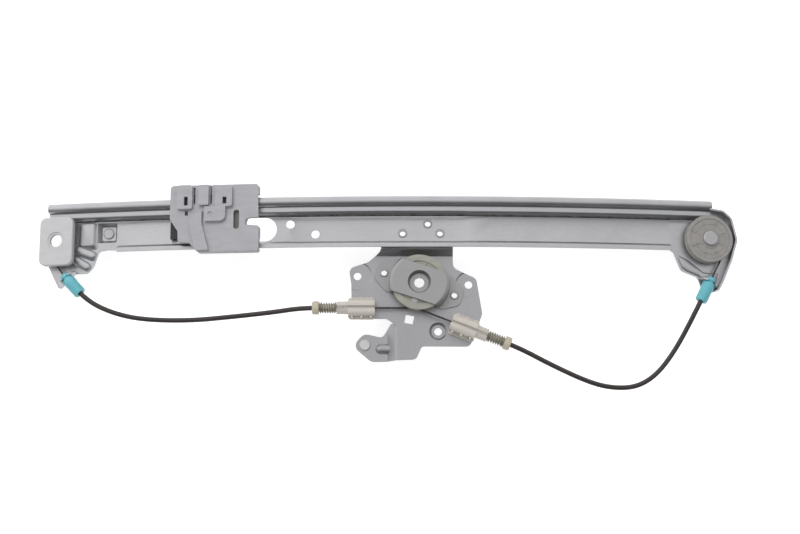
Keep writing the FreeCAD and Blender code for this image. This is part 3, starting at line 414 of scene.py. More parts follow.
def pressed_ring(tree, normal, x, y, radius, depth):
    """Shading of a shallow step pressed into the sheet round a point."""
    coordinate = shader_node(tree, "ShaderNodeTexCoord")
    flat = shader_node(tree, "ShaderNodeVectorMath",
                       {0: coordinate.outputs["Object"], 1: (1.0, 1.0, 0.0)},
                       operation="MULTIPLY").outputs["Vector"]
    distance = shader_node(tree, "ShaderNodeVectorMath", {0: flat, 1: (x, y, 0.0)},
                           operation="DISTANCE").outputs["Value"]
    step = shader_node(tree, "ShaderNodeMapRange",
                       {0: distance, 1: radius - RING_SLOPE, 2: radius + RING_SLOPE},
                       interpolation_type="SMOOTHSTEP").outputs[0]
    bump = shader_node(tree, "ShaderNodeBump",
                       {"Strength": 1.0, "Distance": depth, "Height": step, "Normal": normal})
    return bump.outputs["Normal"]


def new_material(name, inputs):
    material = bpy.data.materials.new(name)
    material.use_nodes = True
    tree = material.node_tree
    shader = tree.nodes["Principled BSDF"]
    for socket, value in inputs.items():
        plug(tree, shader.inputs[socket], value)
    return material, tree, shader


def steel(name, colour, roughness, metallic, streaks=(1.0, 14.0, 14.0), streak_share=0.35,
          edge=0.35, turn=(0.0, 0.0, 0.0), rings=()):
    """Zinc-plated pressed steel: rolling streaks, speckle, dull clouds, fine scratches,
    brighter edges, part wear and part painted highlight, and shallow pressed rings, each
    (x, y, radius, depth)."""
    sizes = bpy.context.scene.regulator_steel
    material, tree, shader = new_material(name, {"Metallic": metallic, "IOR": 1.8})
    dark = scaled(colour, 0.80)
    light = scaled(colour, 1.14)
    lines = grain(tree, sizes.streak_size * 10, detail=6.0, roughness=0.6, stretch=streaks,
                  turn=turn)
    speckle = grain(tree, sizes.speckle_size, detail=3.0, roughness=0.7)
    clouds = grain(tree, size=0.035, detail=5.0, roughness=0.6)
    scratch_field = grain(tree, size=0.02, detail=2.0, roughness=0.5, stretch=(1.0, 60.0, 60.0),
                          turn=(0.0, 0.0, 0.35))
    scratches = spread(tree, scratch_field, low=0.70, high=0.73)
    mixed = calc(tree, "MULTIPLY_ADD", spread(tree, lines), streak_share,
                 calc(tree, "MULTIPLY_ADD", spread(tree, clouds), 0.45,
                      calc(tree, "MULTIPLY", spread(tree, speckle), 0.25)))
    base = blend_colour(tree, mixed, dark, light)
    base = blend_colour(tree, calc(tree, "MULTIPLY", scratches, 0.35), base, light)
    # Lighter edges: part wear, part painted highlight
    base = blend_colour(tree, worn_and_highlit_edges(tree, radius=0.0006, share=edge), base,
                        scaled(colour, 1.35))
    plug(tree, shader.inputs["Base Color"], base)
    rough = calc(tree, "MULTIPLY_ADD", spread(tree, clouds), 0.12, roughness - 0.08)
    rough = calc(tree, "MULTIPLY_ADD", spread(tree, lines), 0.08, rough)
    plug(tree, shader.inputs["Roughness"], rough)
    height = calc(tree, "MULTIPLY_ADD", speckle, 0.5,
                  calc(tree, "MULTIPLY_ADD", lines, 0.6, calc(tree, "MULTIPLY", scratches, -0.6)))
    normal = soft_edges(tree, radius=0.0003, height=height, strength=0.25, distance=0.00008)
    for x, y, radius, depth in rings:
        normal = pressed_ring(tree, normal, x, y, radius, depth)
    plug(tree, shader.inputs["Normal"], normal)
    return material


def moulding(name, colour, roughness, mottle, subsurface=0.0, edge=0.15):
    """Moulded plastic: fine mould grain, faint flow lines, handling marks and soft edges,
    lightened as part wear and part painted highlight.
    """
    sizes = bpy.context.scene.regulator_moulding
    material, tree, shader = new_material(name, {"IOR": 1.48})
    fine = grain(tree, sizes.grain_size, detail=3.0, roughness=0.6)
    flow = grain(tree, size=0.012, roughness=0.5, stretch=(1.0, 3.0, 1.0), turn=(0.0, 0.0, 0.5))
    marks = spread(tree, grain(tree, size=0.006, detail=8.0, roughness=0.65), low=0.60, high=0.74)
    dark = scaled(colour, 1.0 - mottle)
    light = scaled(colour, 1.0 + mottle * 0.7)
    base = blend_colour(tree, spread(tree, flow), dark, light)
    base = blend_colour(tree, calc(tree, "MULTIPLY", marks, 0.25), base, scaled(colour, 0.72))
    # Lighter edges: part wear, part painted highlight
    base = blend_colour(tree, worn_and_highlit_edges(tree, radius=0.0005, share=edge), base,
                        scaled(colour, 1.25, lift=0.02))
    plug(tree, shader.inputs["Base Color"], base)
    plug(tree, shader.inputs["Roughness"],
         calc(tree, "MULTIPLY_ADD", spread(tree, fine), 0.14, roughness - 0.07))
    plug(tree, shader.inputs["Normal"],
         soft_edges(tree, radius=0.0004, height=fine, strength=0.3, distance=0.00006))
    if subsurface > 0:
        shader.inputs["Subsurface Weight"].default_value = subsurface
        shader.inputs["Subsurface Scale"].default_value = 0.002
        shader.inputs["Subsurface Radius"].default_value = (1.0, 0.8, 0.6)
    return material


def extruded_housing(colour):
    """Black extruded tube: fine bumps, dust and a satin gloss."""
    material, tree, shader = new_material("Black housing", {"IOR": 1.5})
    fine = grain(tree, size=0.0009, roughness=0.6)
    dust = spread(tree, grain(tree, size=0.02, detail=6.0, roughness=0.6), low=0.45, high=0.75)
    base = blend_colour(tree, calc(tree, "MULTIPLY", dust, 0.5), colour,
                        scaled(colour, 1.9, lift=0.01))
    plug(tree, shader.inputs["Base Color"], base)
    plug(tree, shader.inputs["Roughness"],
         calc(tree, "MULTIPLY_ADD", dust, 0.18, calc(tree, "MULTIPLY_ADD", fine, 0.1, 0.30)))
    bump = shader_node(tree, "ShaderNodeBump",
                       {"Strength": 0.25, "Distance": 0.00005, "Height": fine})
    plug(tree, shader.inputs["Normal"], bump.outputs["Normal"])
    return material


def greased_rope(name, colour, direction):
    """Steel cable with slanting strands and dark patches of grease."""
    material, tree, shader = new_material(name, {"Metallic": 0.75, "IOR": 1.6})
    grease = spread(tree, grain(tree, size=0.004, detail=5.0, roughness=0.6), low=0.35, high=0.65)
    base = blend_colour(tree, grease, scaled(colour, 0.35), colour)
    plug(tree, shader.inputs["Base Color"], base)
    plug(tree, shader.inputs["Roughness"], calc(tree, "MULTIPLY_ADD", grease, 0.25, 0.25))
    slant = place(tree, turn=(0.0, 0.0, math.radians(STRAND_SLANT - direction)))
    strands = shader_node(tree, "ShaderNodeTexWave",
                          {"Vector": slant, "Scale": STRAND_WAVE, "Distortion": 0.3},
                          wave_type="BANDS", bands_direction="X").outputs["Fac"]
    bump = shader_node(tree, "ShaderNodeBump",
                       {"Strength": 0.8, "Distance": 0.0001, "Height": strands})
    plug(tree, shader.inputs["Normal"], bump.outputs["Normal"])
    return material


def add_object(name, data):
    made = bpy.data.objects.new(name, data)
    bpy.context.scene.collection.objects.link(made)
    return made


def dress(names, material):
    """Gives some of the solids a material."""
    for name in names:
        for slot in nodes[name].material_slots:
            slot.material = material


# Geometry Nodes helpers

def node_tree(name, sockets):
    tree = bpy.data.node_groups.new(name, "GeometryNodeTree")
    tree.is_modifier = True
    tree.interface.new_socket("Geometry", in_out="INPUT", socket_type="NodeSocketGeometry")
    tree.interface.new_socket("Geometry", in_out="OUTPUT", socket_type="NodeSocketGeometry")
    for label, kind in sockets:
        tree.interface.new_socket(label, in_out="INPUT", socket_type="NodeSocket" + kind)
    source = tree.nodes.new("NodeGroupInput")
    sink = tree.nodes.new("NodeGroupOutput")
    return tree, source.outputs, sink.inputs


def finish_tree(tree, sockets, sink, mesh):
    smooth = shader_node(tree, "GeometryNodeSetShadeSmooth", {"Geometry": mesh})
    real = shader_node(tree, "GeometryNodeRealizeInstances",
                       {"Geometry": smooth.outputs["Geometry"]})
    painted = shader_node(tree, "GeometryNodeSetMaterial",
                          {"Geometry": real.outputs["Geometry"],
                           "Material": sockets["Material"]})
    tree.links.new(painted.outputs["Geometry"], sink["Geometry"])


def coil_tree():
    """Wire wound along Z, with closed turns at both ends."""
    tree, inlet, sink = node_tree("Wound wire", [
        ("Turns", "Float"), ("Closed Turns", "Float"), ("Closed Pitch", "Float"),
        ("Length", "Float"), ("Radius", "Float"), ("Wire Radius", "Float"),
        ("Wire Sides", "Int"), ("Steps", "Int"), ("Material", "Material")])
    factor = shader_node(tree, "GeometryNodeSplineParameter").outputs["Factor"]
    turned = calc(tree, "MULTIPLY", factor, inlet["Turns"])
    both_closed = calc(tree, "MULTIPLY", inlet["Closed Turns"], 2.0)
    open_turns = calc(tree, "SUBTRACT", inlet["Turns"], both_closed)
    past_first = calc(tree, "MAXIMUM", calc(tree, "SUBTRACT", turned, inlet["Closed Turns"]), 0.0)
    opened = calc(tree, "MINIMUM", past_first, open_turns)
    closed_length = calc(tree, "MULTIPLY", both_closed, inlet["Closed Pitch"])
    open_pitch = calc(tree, "DIVIDE", calc(tree, "SUBTRACT", inlet["Length"], closed_length),
                      open_turns)
    height = calc(tree, "MULTIPLY_ADD", calc(tree, "SUBTRACT", turned, opened),
                  inlet["Closed Pitch"], calc(tree, "MULTIPLY", opened, open_pitch))
    angle = calc(tree, "MULTIPLY", turned, 2 * math.pi)
    x = calc(tree, "MULTIPLY", calc(tree, "COSINE", angle), inlet["Radius"])
    y = calc(tree, "MULTIPLY", calc(tree, "SINE", angle), inlet["Radius"])
    point = shader_node(tree, "ShaderNodeCombineXYZ", {"X": x, "Y": y, "Z": height})
    line = shader_node(tree, "GeometryNodeCurvePrimitiveLine")
    count = calc(tree, "MULTIPLY", inlet["Turns"], inlet["Steps"])
    steps = shader_node(tree, "GeometryNodeResampleCurve",
                        {"Curve": line.outputs["Curve"], "Count": count})
    wound = shader_node(tree, "GeometryNodeSetPosition",
                        {"Geometry": steps.outputs["Curve"], "Position": point.outputs[0]})
    upright = shader_node(tree, "GeometryNodeSetCurveNormal",
                          {"Curve": wound.outputs["Geometry"]}, mode="Z_UP")
    ring = shader_node(tree, "GeometryNodeCurvePrimitiveCircle",
                       {"Resolution": inlet["Wire Sides"], "Radius": inlet["Wire Radius"]})
    wire = shader_node(tree, "GeometryNodeCurveToMesh",
                       {"Curve": upright.outputs["Curve"],
                        "Profile Curve": ring.outputs["Curve"], "Fill Caps": True})
    finish_tree(tree, inlet, sink, wire.outputs["Mesh"])
    return tree


def plain_mesh(name, source, tree, values):
    """Runs a node tree on an object and keeps only the mesh that it makes."""
    modifier = source.modifiers.new("Nodes", "NODES")
    modifier.node_group = tree
    for item in tree.interface.items_tree:
        if item.in_out == "INPUT" and item.name in values:
            modifier[item.identifier] = values[item.name]
    graph = bpy.context.evaluated_depsgraph_get()
    mesh = bpy.data.meshes.new_from_object(source.evaluated_get(graph), depsgraph=graph)
    mesh.name = name
    bpy.data.objects.remove(source)
    made = add_object(name, mesh)
    if not mesh.vertices:
        raise RuntimeError(name + " came out empty")
    return made


def wind(name, start, axis, values, tree):
    """A wound wire from its start along an axis."""
    source = add_object(name + "_seed", bpy.data.meshes.new(name + "_seed"))
    made = plain_mesh(name, source, tree, values)
    turn = Vector(axis).normalized().to_track_quat("Z", "X").to_matrix().to_4x4()
    made.data.transform(Matrix.Translation(Vector(start)) @ turn)
    return made


def on_rail(x, y, s, height):
    """Point from one on the rail's tangent plane at s, as the solids place it."""
    angle = s / RAIL_RADIUS
    out = RAIL_RADIUS + height
    return Vector((x * math.cos(angle) + out * math.sin(angle), y,
                   -x * math.sin(angle) + out * math.cos(angle) + WEB_BACK - RAIL_RADIUS))


# Mesh helpers

def rounded(corners):
    """Outline with its corners rounded, from (x, y, radius) in millimetres."""
    points = []
    count = len(corners)
    for i, (x, y, radius) in enumerate(corners):
        here = Vector((x, y))
        before = Vector(corners[i - 1][:2]) - here
        after = Vector(corners[(i + 1) % count][:2]) - here
        half = before.angle(after) / 2
        reach = min(radius / math.tan(half), before.length * 0.49, after.length * 0.49)
        first = here + before.normalized() * reach
        last = here + after.normalized() * reach
        for k in range(CORNER_STEPS + 1):
            share = k / CORNER_STEPS
            bend = (1 - share) ** 2 * first + 2 * share * (1 - share) * here + share ** 2 * last
            points.append(bend / 1000)
    return points


def stadium(start, end, reach):
    """Outline at one distance, in metres, round a line in millimetres."""
    first, last = Vector(start) / 1000, Vector(end) / 1000
    run = math.atan2(last.y - first.y, last.x - first.x)
    points = []
    for middle, turn in ((last, run - math.pi / 2), (first, run + math.pi / 2)):
        for k in range(CAP_STEPS + 1):
            angle = turn + math.pi * k / CAP_STEPS
            points.append(middle + Vector((math.cos(angle), math.sin(angle))) * reach)
    return points


def directions(sides):
    """Cosine and sine of evenly spaced angles round a circle."""
    angles = [2 * math.pi * i / sides for i in range(sides)]
    return [(math.cos(angle), math.sin(angle)) for angle in angles]


def headings(degrees):
    """Unit vectors along and across a direction."""
    angle = math.radians(degrees)
    along = Vector((math.cos(angle), math.sin(angle)))
    return along, Vector((-along.y, along.x))


def on_tangent(s):
    """Places outline points on the rail's tangent plane at s."""
    return lambda point, height: on_rail(point[0], point[1], s, height)


def on_plate(point, height):
    return Vector((point[0], point[1], height))


def prism(outline, levels, spot):
    """Rings over an outline in millimetres, one at each level."""
    points = [Vector(corner) / 1000 for corner in outline]
    return [[spot(point, level) for point in points] for level in levels]


def add_skin(name, rings, material, body, closed=False):
    """Surface through rings with equally many points, capped unless it closes on itself.
    Without a body it is a cutter."""
    count = len(rings[0])
    points = [tuple(point) for ring in rings for point in ring]
    faces = []
    for i in range(len(rings) if closed else len(rings) - 1):
        here, there = i * count, (i + 1) % len(rings) * count
        for j in range(count):
            k = (j + 1) % count
            faces.append((here + j, here + k, there + k, there + j))
    if not closed:
        faces.append(tuple(reversed(range(count))))
        faces.append(tuple(range(len(points) - count, len(points))))
    mesh = bpy.data.meshes.new(name)
    mesh.from_pydata(points, [], faces)
    form = bmesh.new()
    form.from_mesh(mesh)
    bmesh.ops.recalc_face_normals(form, faces=form.faces)
    form.to_mesh(mesh)
    form.free()
    mesh.shade_smooth()
    mesh.set_sharp_from_angle(angle=math.radians(38))
    piece = add_object(name, mesh)
    if body:
        mesh.materials.append(material)
        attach(piece, body)
    return piece


def add_pressing(name, foot, crown, rise, spot, material, steps):
    """Form pressed from the rail's sheet, with an S-shaped flank from its foot to its crown."""
    low, high = rounded(foot), rounded(crown)
    rings = [[spot(point, RAIL_SHEET - FOOT_SINK) for point in low]]
    for k in range(steps + 1):
        share = k / steps
        height = RAIL_SHEET + rise * (0.5 - 0.5 * math.cos(math.pi * share))
        rings.append([spot(a + (b - a) * share, height) for a, b in zip(low, high)])
    add_skin(name, rings, material, FRAME_BODY)


def add_bead(name, bead, level, spot, material):
    """Half-round bead along a line on a sheet."""
    start, end, half_width, rise = bead
    rings = [[spot(point, level - FOOT_SINK) for point in stadium(start, end, half_width)]]
    for k in range(BEAD_STEPS):
        angle = math.pi / 2 * k / (BEAD_STEPS - 0.5)
        reach = half_width * math.cos(angle)
        height = level + rise * math.sin(angle)
        rings.append([spot(point, height) for point in stadium(start, end, reach)])
    add_skin(name, rings, material, FRAME_BODY)


def add_turned(name, profile, spot, material, body):
    """Ring from a closed profile of (radius, height) in millimetres about a local upright."""
    rings = []
    for across, up in directions(TURNED_SIDES):
        rings.append([spot((radius * across / 1000, radius * up / 1000), height / 1000)
                      for radius, height in profile])
    add_skin(name, rings, material, body, closed=True)


def add_drill(name, high):
    """Round cutter at the deflector's screw, up to a height in millimetres."""
    spot = on_tangent(DEFLECTOR_S)
    rings = []
    for height in (SCREW_LOW, high):
        rings.append([])
        for across, up in directions(ROUND_SIDES):
            x = SCREW_SPOT[0] + SCREW_ROOM * across
            y = SCREW_SPOT[1] + SCREW_ROOM * up
            rings[-1].append(spot((x / 1000, y / 1000), height / 1000))
    return add_skin(name, rings, None, None)


def rework(name, node, cutter, material, body):
    """Copy of a solid's mesh with a cutter taken out, shown in its place."""
    mesh = nodes[node].data.copy()
    form = bmesh.new()
    form.from_mesh(mesh)
    bmesh.ops.remove_doubles(form, verts=form.verts, dist=0.000002)
    form.to_mesh(mesh)
    form.free()
    piece = add_object(name, mesh)
    cut = piece.modifiers.new("Cut", "BOOLEAN")
    cut.operation = "DIFFERENCE"
    cut.solver = "EXACT"
    cut.object = cutter
    graph = bpy.context.evaluated_depsgraph_get()
    done = bpy.data.meshes.new_from_object(piece.evaluated_get(graph), depsgraph=graph)
    piece.modifiers.clear()
    piece.data = done
    bpy.data.objects.remove(cutter)
    if len(done.polygons) < len(mesh.polygons) // 2:
        raise RuntimeError(name + " lost its surface")
    if "custom_normal" in done.attributes:
        done.attributes.remove(done.attributes["custom_normal"])
    done.shade_smooth()
    done.set_sharp_from_angle(angle=math.radians(30))
    done.materials.clear()
    done.materials.append(material)
    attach(piece, body)
    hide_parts(node)


# Pieces

def add_housing(name, route, node, settings, material):
    """Round housing along a smooth line near its route's points."""
    curve = bpy.data.curves.new(name, "CURVE")
    curve.dimensions = "3D"
    spline = curve.splines.new("NURBS")
    spline.points.add(len(route) - 1)
    for point, (x, y, z) in zip(spline.points, route):
        point.co = (x, y, z, 1.0)
    spline.order_u = 3
    spline.use_endpoint_u = True
    spline.resolution_u = 24
    curve.bevel_depth = settings.housing_diameter / 2
    curve.bevel_resolution = 6
    curve.use_fill_caps = True
    curve.materials.append(material)
    housing = add_object(name, curve)
    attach(housing, FRAME_BODY)
    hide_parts(node)
    return housing


class REGULATOR_OT_housings(bpy.types.Operator):
    """Lay the two black cable housings between the sleeves and the sprung caps"""
    bl_idname = "regulator.housings"
    bl_label = "Cable Housings"

    def execute(self, context):
        cords = context.scene.regulator_cord
        black = extruded_housing(context.scene.regulator_moulding.housing)
        left = add_housing("left_housing", LEFT_ROUTE, "left_conduit", cords, black)
        right = add_housing("right_housing", RIGHT_ROUTE, "right_conduit", cords, black)
        return {"FINISHED"}


class REGULATOR_OT_rail(bpy.types.Operator):
    """Galvanise the guide rail and press its two ends"""
    bl_idname = "regulator.rail"
    bl_label = "Guide Rail"

    def execute(self, context):
        colour = context.scene.regulator_steel.rail
        zinc = steel("Rail zinc", colour, roughness=0.34, metallic=0.88)
        hole = add_drill("rail_drill", high=6.0)
        rework("rail", "guide_rail", hole, zinc, FRAME_BODY)
        left = on_tangent(DEFLECTOR_S)
        add_pressing("left_end_ridge", RIDGE_FOOT, RIDGE_CROWN, RIDGE_RISE, left, zinc, steps=7)
        for name, bead in END_BEADS.items():
            add_bead(name, bead, RAIL_SHEET, left, zinc)
        add_pressing("right_end_step", STEP_FOOT, STEP_CROWN, STEP_RISE, on_tangent(PULLEY_S),
                     zinc, steps=4)
        return {"FINISHED"}


class REGULATOR_OT_plate(bpy.types.Operator):
    """Finish the motor plate, the drum cover and the tubular rivets"""
    bl_idname = "regulator.plate"
    bl_label = "Motor Plate and Cover"

    def execute(self, context):
        colours = context.scene.regulator_steel
        zinc = steel("Plate zinc", colours.plate, roughness=0.38, metallic=0.82,
                     streaks=(10.0, 1.0, 10.0), streak_share=0.2, rings=PLATE_RINGS)
        dress(["motor_plate"], zinc)
        add_bead("arm_bead", ARM_BEAD, PLATE_SHEET - ARM_DROP, on_plate, zinc)
        dress(["drum_cover"],
              steel("Cover zinc", colours.cover, roughness=0.40, metallic=0.8,
                    streaks=(1.0, 8.0, 8.0), streak_share=0.25,
                    turn=(0.0, 0.0, math.radians(18))))
        dress(["plate_rivets", "cover_rivets"],
              steel("Rivet zinc", colours.rivet, roughness=0.35, metallic=0.65,
                    streak_share=0.1, edge=0.6))
        return {"FINISHED"}


class REGULATOR_OT_studs(bpy.types.Operator):
    """Turn the bright studs and the pulley's axle, and cut their threads"""
    bl_idname = "regulator.studs"
    bl_label = "Studs and Axle"

    def execute(self, context):
        colours = context.scene.regulator_steel
        cords = context.scene.regulator_cord
        bright = steel("Bright stud", colours.stud, roughness=0.32, metallic=0.6,
                       streak_share=0.15, edge=0.5)
        dress(["rail_stud", "pulley_axle"], bright)
        dress(["arm_stud"],
              steel("Arm stud", colours.arm_stud, roughness=0.4, metallic=0.6,
                    streak_share=0.15, edge=0.5))
        tree = coil_tree()
        for mount_name in ("rail_stud_end", "arm_stud_end", "pulley_stud_end"):
            mount = mounts[mount_name]
            axis = Vector(mount["axis"])
            length = mount["dims"]["length_mm"] / 1000 - cords.thread_pitch * THREAD_BARE
            radius = mount["dims"]["r_mm"] / 1000 - cords.thread_depth * THREAD_SINK
            back = length / 2 - cords.thread_pitch * THREAD_SHIFT
            start = Vector(mount["pos_m"]) - axis * back
            thread = wind(mount_name.replace("_end", "_thread"), start, axis, {
                "Turns": length / cords.thread_pitch, "Closed Turns": 0.0, "Closed Pitch": 0.0,
                "Length": length, "Radius": radius,
                "Wire Radius": cords.thread_depth * THREAD_WIRE, "Wire Sides": 4,
                "Steps": 24, "Material": bright}, tree)
            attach(thread, FRAME_BODY)
        return {"FINISHED"}


class REGULATOR_OT_deflector(bpy.types.Operator):
    """Mould the pale cable deflector"""
    bl_idname = "regulator.deflector"
    bl_label = "Cable Deflector"

    def execute(self, context):
        colour = context.scene.regulator_moulding.deflector
        white = moulding("Deflector moulding", colour, roughness=0.45, mottle=0.05,
                         subsurface=0.1)
        room = add_drill("screw_room", high=9.0)
        rework("deflector", "cable_deflector", room, white, FRAME_BODY)
        return {"FINISHED"}


class REGULATOR_OT_pulley(bpy.types.Operator):
    """Mould the return pulley"""
    bl_idname = "regulator.pulley"
    bl_label = "Return Pulley"

    def execute(self, context):
        colour = context.scene.regulator_moulding.pulley
        grey = moulding("Pulley moulding", colour, roughness=0.5, mottle=0.10, subsurface=0.05,
                        edge=0.4)
        dress(["return_pulley"], grey)
        spot = (lambda point, height: on_rail(point[0], point[1] + PULLEY_Y, PULLEY_S, height))
        add_turned("pulley_face", PULLEY_FACE, spot, grey, "pulley")
        return {"FINISHED"}


class REGULATOR_OT_drum(bpy.types.Operator):
    """Mould the cable drum and plate its cable end"""
    bl_idname = "regulator.drum"
    bl_label = "Cable Drum"

    def execute(self, context):
        colour = context.scene.regulator_moulding.drum
        warm = moulding("Drum moulding", colour, roughness=0.5, mottle=0.12, subsurface=0.05,
                        edge=0.3)
        dress(["cable_drum"], warm)
        add_turned("drum_web", DRUM_WEB, on_plate, warm, "drum")
        dress(["drum_nipple"],
              steel("Cable end zinc", context.scene.regulator_steel.stud, roughness=0.4,
                    metallic=0.6, streak_share=0.1))
        return {"FINISHED"}


class REGULATOR_OT_sleeves(bpy.types.Operator):
    """Mould the two turquoise housing sleeves"""
    bl_idname = "regulator.sleeves"
    bl_label = "Housing Sleeves"

    def execute(self, context):
        colour = context.scene.regulator_moulding.sleeve
        turquoise = moulding("Sleeve moulding", colour, roughness=0.38, mottle=0.06,
                             subsurface=0.25, edge=0.2)
        for name, (end, start, degrees) in SLEEVES.items():
            along, across = headings(degrees)
            rings = []
            for aside, up in directions(ROUND_SIDES):
                ring = []
                for radius, reach in SLEEVE_PROFILE:
                    side = across * (radius * aside / 1000)
                    point = Vector(start) + along * reach / 1000 + side
                    height = CABLE_HEIGHT + radius * up / 1000
                    ring.append(on_rail(point.x, point.y, end, height))
                rings.append(ring)
            sleeve = add_skin(name + "_moulding", rings, turquoise, FRAME_BODY,
                              closed=True)
            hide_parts(name)
        return {"FINISHED"}


class REGULATOR_OT_guides(bpy.types.Operator):
    """Mould the cable guides and caps, and wind the tension springs"""
    bl_idname = "regulator.guides"
    bl_label = "Cable Guides and Springs"

    def execute(self, context):
        colours = context.scene.regulator_moulding
        cords = context.scene.regulator_cord
        dress(["left_cable_guide", "right_cable_guide"],
              moulding("Milky guide moulding", colours.guide, roughness=0.4, mottle=0.07,
                       subsurface=0.35, edge=0.25))
        # The groove is its guide's colour darkened as painted shade in the recess
        warm = moulding("Guide groove painted shade", scaled(colours.guide, GROOVE_PAINTED_SHADE),
                        roughness=0.5, mottle=0.07)
        for name, (start, degrees, level) in GUIDES.items():
            along, across = headings(degrees)
            rings = []
            for reach, crown in GROOVE_STEPS:
                bed = crown - GROOVE_DEPTH
                section = ((-GROOVE_HALF, GROOVE_FOOT), (GROOVE_HALF, GROOVE_FOOT),
                           (GROOVE_HALF, crown), (GROOVE_BED, bed), (-GROOVE_BED, bed),
                           (-GROOVE_HALF, crown))
                ring = []
                for aside, height in section:
                    point = Vector(start) + along * reach + across * aside / 1000
                    ring.append((point.x, point.y, level + height / 1000))
                rings.append(ring)
            add_skin(name + "_groove", rings, warm, FRAME_BODY)
        dress(["left_tension_cap", "right_tension_cap"],
              moulding("Cap moulding", colours.cap, roughness=0.45, mottle=0.08,
                       subsurface=0.2, edge=0.25))
        wire = steel("Spring wire", context.scene.regulator_steel.spring, roughness=0.35,
                     metallic=0.7, streak_share=0.2, edge=0.2)
        tree = coil_tree()
        for side in ("left", "right"):
            joint = joints[side + "_cap_slide"]
            inward = Vector(joint["axis"]).normalized()
            low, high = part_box(side + "_tension_spring")
            middle = (low + high) / 2
            start = middle + inward * (cords.spring_length / 2)
            spring = wind(side + "_spring_coil", start, -inward, {
                "Turns": cords.spring_turns, "Closed Turns": cords.spring_closed_turns,
                "Closed Pitch": cords.spring_wire * CLOSED_PITCH,
                "Length": cords.spring_length, "Radius": cords.spring_radius,
                "Wire Radius": cords.spring_wire / 2, "Wire Sides": 14, "Steps": 40,
                "Material": wire}, tree)
            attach(spring, FRAME_BODY)
            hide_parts(side + "_tension_spring")
            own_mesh(spring)
        return {"FINISHED"}


class REGULATOR_OT_carrier(bpy.types.Operator):
    """Mould the glass carrier and its black shoes"""
    bl_idname = "regulator.carrier"
    bl_label = "Glass Carrier"

    def execute(self, context):
        colours = context.scene.regulator_moulding
        spot = on_tangent(CARRIER_S)
        dress(["glass_carrier"],
              moulding("Carrier moulding", colours.carrier, roughness=0.55, mottle=0.07,
                       edge=0.25))
        black = moulding("Black shoe moulding", colours.shoe, roughness=0.45, mottle=0.2)
        dress(["bead_shoe"], black)
        notch = add_skin("shoe_notch", prism(SHOE_NOTCH, NOTCH_LEVELS, spot), None, None)
        rework("edge_shoe_moulding", "edge_shoe", notch, black, "carrier")
        # Dark sheet in the slot: its colour is painted shade, not the moulding's own
        painted_slot_shade = moulding("Slot floor painted shade", colours.slot_floor_painted_shade, roughness=0.6, mottle=0.07)
        add_skin("carrier_slot_floor_painted_shade", prism(SLOT_FLOOR, SLOT_FLOOR_LEVELS, spot), painted_slot_shade,
                 "carrier")
        dress(["carrier_cable_ends"],
              steel("Carrier end zinc", context.scene.regulator_steel.stud, roughness=0.4,
                    metallic=0.6, streak_share=0.1))
        return {"FINISHED"}


class REGULATOR_OT_cables(bpy.types.Operator):
    """Finish the stranded steel cable along the rail and round the drum"""
    bl_idname = "regulator.cables"
    bl_label = "Steel Cables"

    def execute(self, context):
        colour = context.scene.regulator_steel.rope
        dress(["rail_cable", "left_drum_cable"],
              greased_rope("Straight cable", colour, direction=0.0))
        dress(["right_drum_cable"],
              greased_rope("Slanting cable", colour, GUIDES["right_guide"][1]))
        return {"FINISHED"}


# Studio

def add_lamp(name, spot, size, power):
    """Rectangular lamp aimed at the origin, which gloss doesn't show."""
    lamp = bpy.data.lights.new(name, "AREA")
    lamp.shape = "RECTANGLE"
    lamp.size, lamp.size_y = size
    lamp.energy = power
    held = add_object(name, lamp)
    held.location = spot
    held.rotation_euler = (-Vector(spot)).to_track_quat("-Z", "Y").to_euler()
    held.visible_glossy = False


def add_camera(studio):
    camera = bpy.data.cameras.new("Camera")
    camera.lens = studio.focal_length
    camera.sensor_width = 36.0
    camera.clip_start = 0.01
    held = add_object("Camera", camera)
    back = Vector((0.0, -math.cos(studio.elevation), math.sin(studio.elevation)))
    held.location = Vector(studio.target) + back * studio.distance
    held.rotation_euler = (-back).to_track_quat("-Z", "Y").to_euler()
    bpy.context.scene.camera = held


def floor_material(colour):
    """Pale floor with light of its own for the camera, gloss and transmission only."""
    material, tree, shader = new_material("Pale floor", {"Roughness": 0.9})
    paper = blend_colour(tree, spread(tree, grain(tree, size=0.4, detail=2.0)),
                         scaled(colour, 0.99), colour)
    plug(tree, shader.inputs["Base Color"], paper)
    path = shader_node(tree, "ShaderNodeLightPath").outputs
    seen = calc(tree, "MAXIMUM", path["Is Camera Ray"],
                calc(tree, "MAXIMUM", path["Is Glossy Ray"], path["Is Transmission Ray"]))
    shader.inputs["Emission Color"].default_value = (1.0, 1.0, 1.0, 1.0)
    plug(tree, shader.inputs["Emission Strength"], calc(tree, "MULTIPLY", seen, FLOOR_LIGHT))
    return material


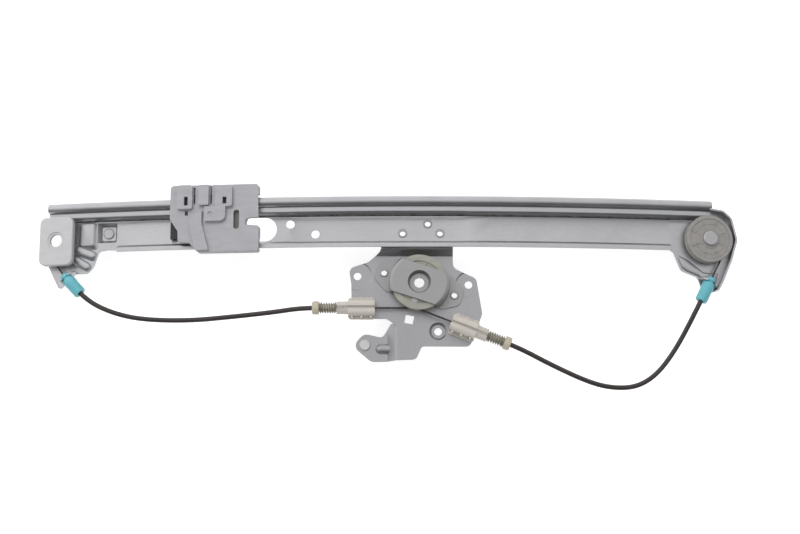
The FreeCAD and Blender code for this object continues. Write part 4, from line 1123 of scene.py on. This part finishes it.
def set_room(strength):
    """White to the camera and in transmission, and in gloss darker in front and to the right."""
    world = bpy.data.worlds.new("Room")
    world.use_nodes = True
    tree = world.node_tree
    background = tree.nodes["Background"]
    direction = shader_node(tree, "ShaderNodeTexCoord").outputs["Generated"]
    parts = shader_node(tree, "ShaderNodeSeparateXYZ", {"Vector": direction}).outputs
    slope = calc(tree, "MULTIPLY_ADD", parts["Z"], GLOSS_LIFT, parts["Y"])
    side = calc(tree, "MULTIPLY_ADD", parts["X"], GLOSS_SIDE, 1.0)
    front_to_back = spread(tree, slope, *GLOSS_SLOPE, *GLOSS_STRENGTHS)
    glossy = calc(tree, "MULTIPLY", front_to_back, side)
    path = shader_node(tree, "ShaderNodeLightPath").outputs
    seen = calc(tree, "MAXIMUM", path["Is Camera Ray"], path["Is Transmission Ray"])
    level = shader_node(tree, "ShaderNodeMix", {"Factor": path["Is Glossy Ray"], 2: strength,
                                                3: glossy}, data_type="FLOAT").outputs[0]
    level = shader_node(tree, "ShaderNodeMix", {"Factor": seen, 2: level, 3: 1.0},
                        data_type="FLOAT").outputs[0]
    plug(tree, background.inputs["Strength"], level)
    background.inputs["Color"].default_value = (1.0, 1.0, 1.0, 1.0)
    bpy.context.scene.world = world


class REGULATOR_OT_studio(bpy.types.Operator):
    """Set the camera, the lamps, the room light and the pale floor"""
    bl_idname = "regulator.studio"
    bl_label = "Studio"

    def execute(self, context):
        studio = context.scene.regulator_studio
        add_camera(studio)
        add_lamp("Key lamp", spot=(-0.55, 0.75, 1.35), size=(1.3, 0.8), power=studio.key_power)
        add_lamp("Fill lamp", spot=(0.7, -0.9, 1.2), size=(1.0, 1.0), power=studio.fill_power)
        mesh = bpy.data.meshes.new("Floor")
        level = cad_low.z - FLOOR_GAP
        corners = [(x * FLOOR_REACH, y * FLOOR_REACH, level)
                   for x, y in ((-1, -1), (1, -1), (1, 1), (-1, 1))]
        mesh.from_pydata(corners, [], [(0, 1, 2, 3)])
        mesh.materials.append(floor_material(studio.floor_colour))
        floor = add_object("Floor", mesh)
        set_room(studio.room_light)
        context.scene.view_settings.view_transform = "Standard"
        return {"FINISHED"}


STEPS = [
    REGULATOR_OT_studio,
    REGULATOR_OT_housings,
    REGULATOR_OT_rail,
    REGULATOR_OT_plate,
    REGULATOR_OT_studs,
    REGULATOR_OT_deflector,
    REGULATOR_OT_pulley,
    REGULATOR_OT_drum,
    REGULATOR_OT_cables,
    REGULATOR_OT_sleeves,
    REGULATOR_OT_guides,
    REGULATOR_OT_carrier,
]


class REGULATOR_PT_sidebar(bpy.types.Panel):
    """Settings and steps of the window regulator"""
    bl_label = "Window Regulator"
    bl_space_type = "VIEW_3D"
    bl_region_type = "UI"
    bl_category = "Regulator"

    def draw(self, context):
        for name in SETTINGS:
            settings = getattr(context.scene, name)
            box = self.layout.box()
            for field in settings.__annotations__:
                box.prop(settings, field)
        for step in STEPS:
            self.layout.operator(step.bl_idname)


def register():
    for name, group in SETTINGS.items():
        bpy.utils.register_class(group)
        setattr(bpy.types.Scene, name, bpy.props.PointerProperty(type=group))
    for step in STEPS:
        bpy.utils.register_class(step)
    bpy.utils.register_class(REGULATOR_PT_sidebar)


def unregister():
    bpy.utils.unregister_class(REGULATOR_PT_sidebar)
    for step in reversed(STEPS):
        bpy.utils.unregister_class(step)
    for name, group in reversed(SETTINGS.items()):
        delattr(bpy.types.Scene, name)
        bpy.utils.unregister_class(group)


def main():
    register()
    for step in STEPS:
        getattr(bpy.ops.regulator, step.bl_idname.split(".")[1])()


if __name__ == "__main__":
    main()
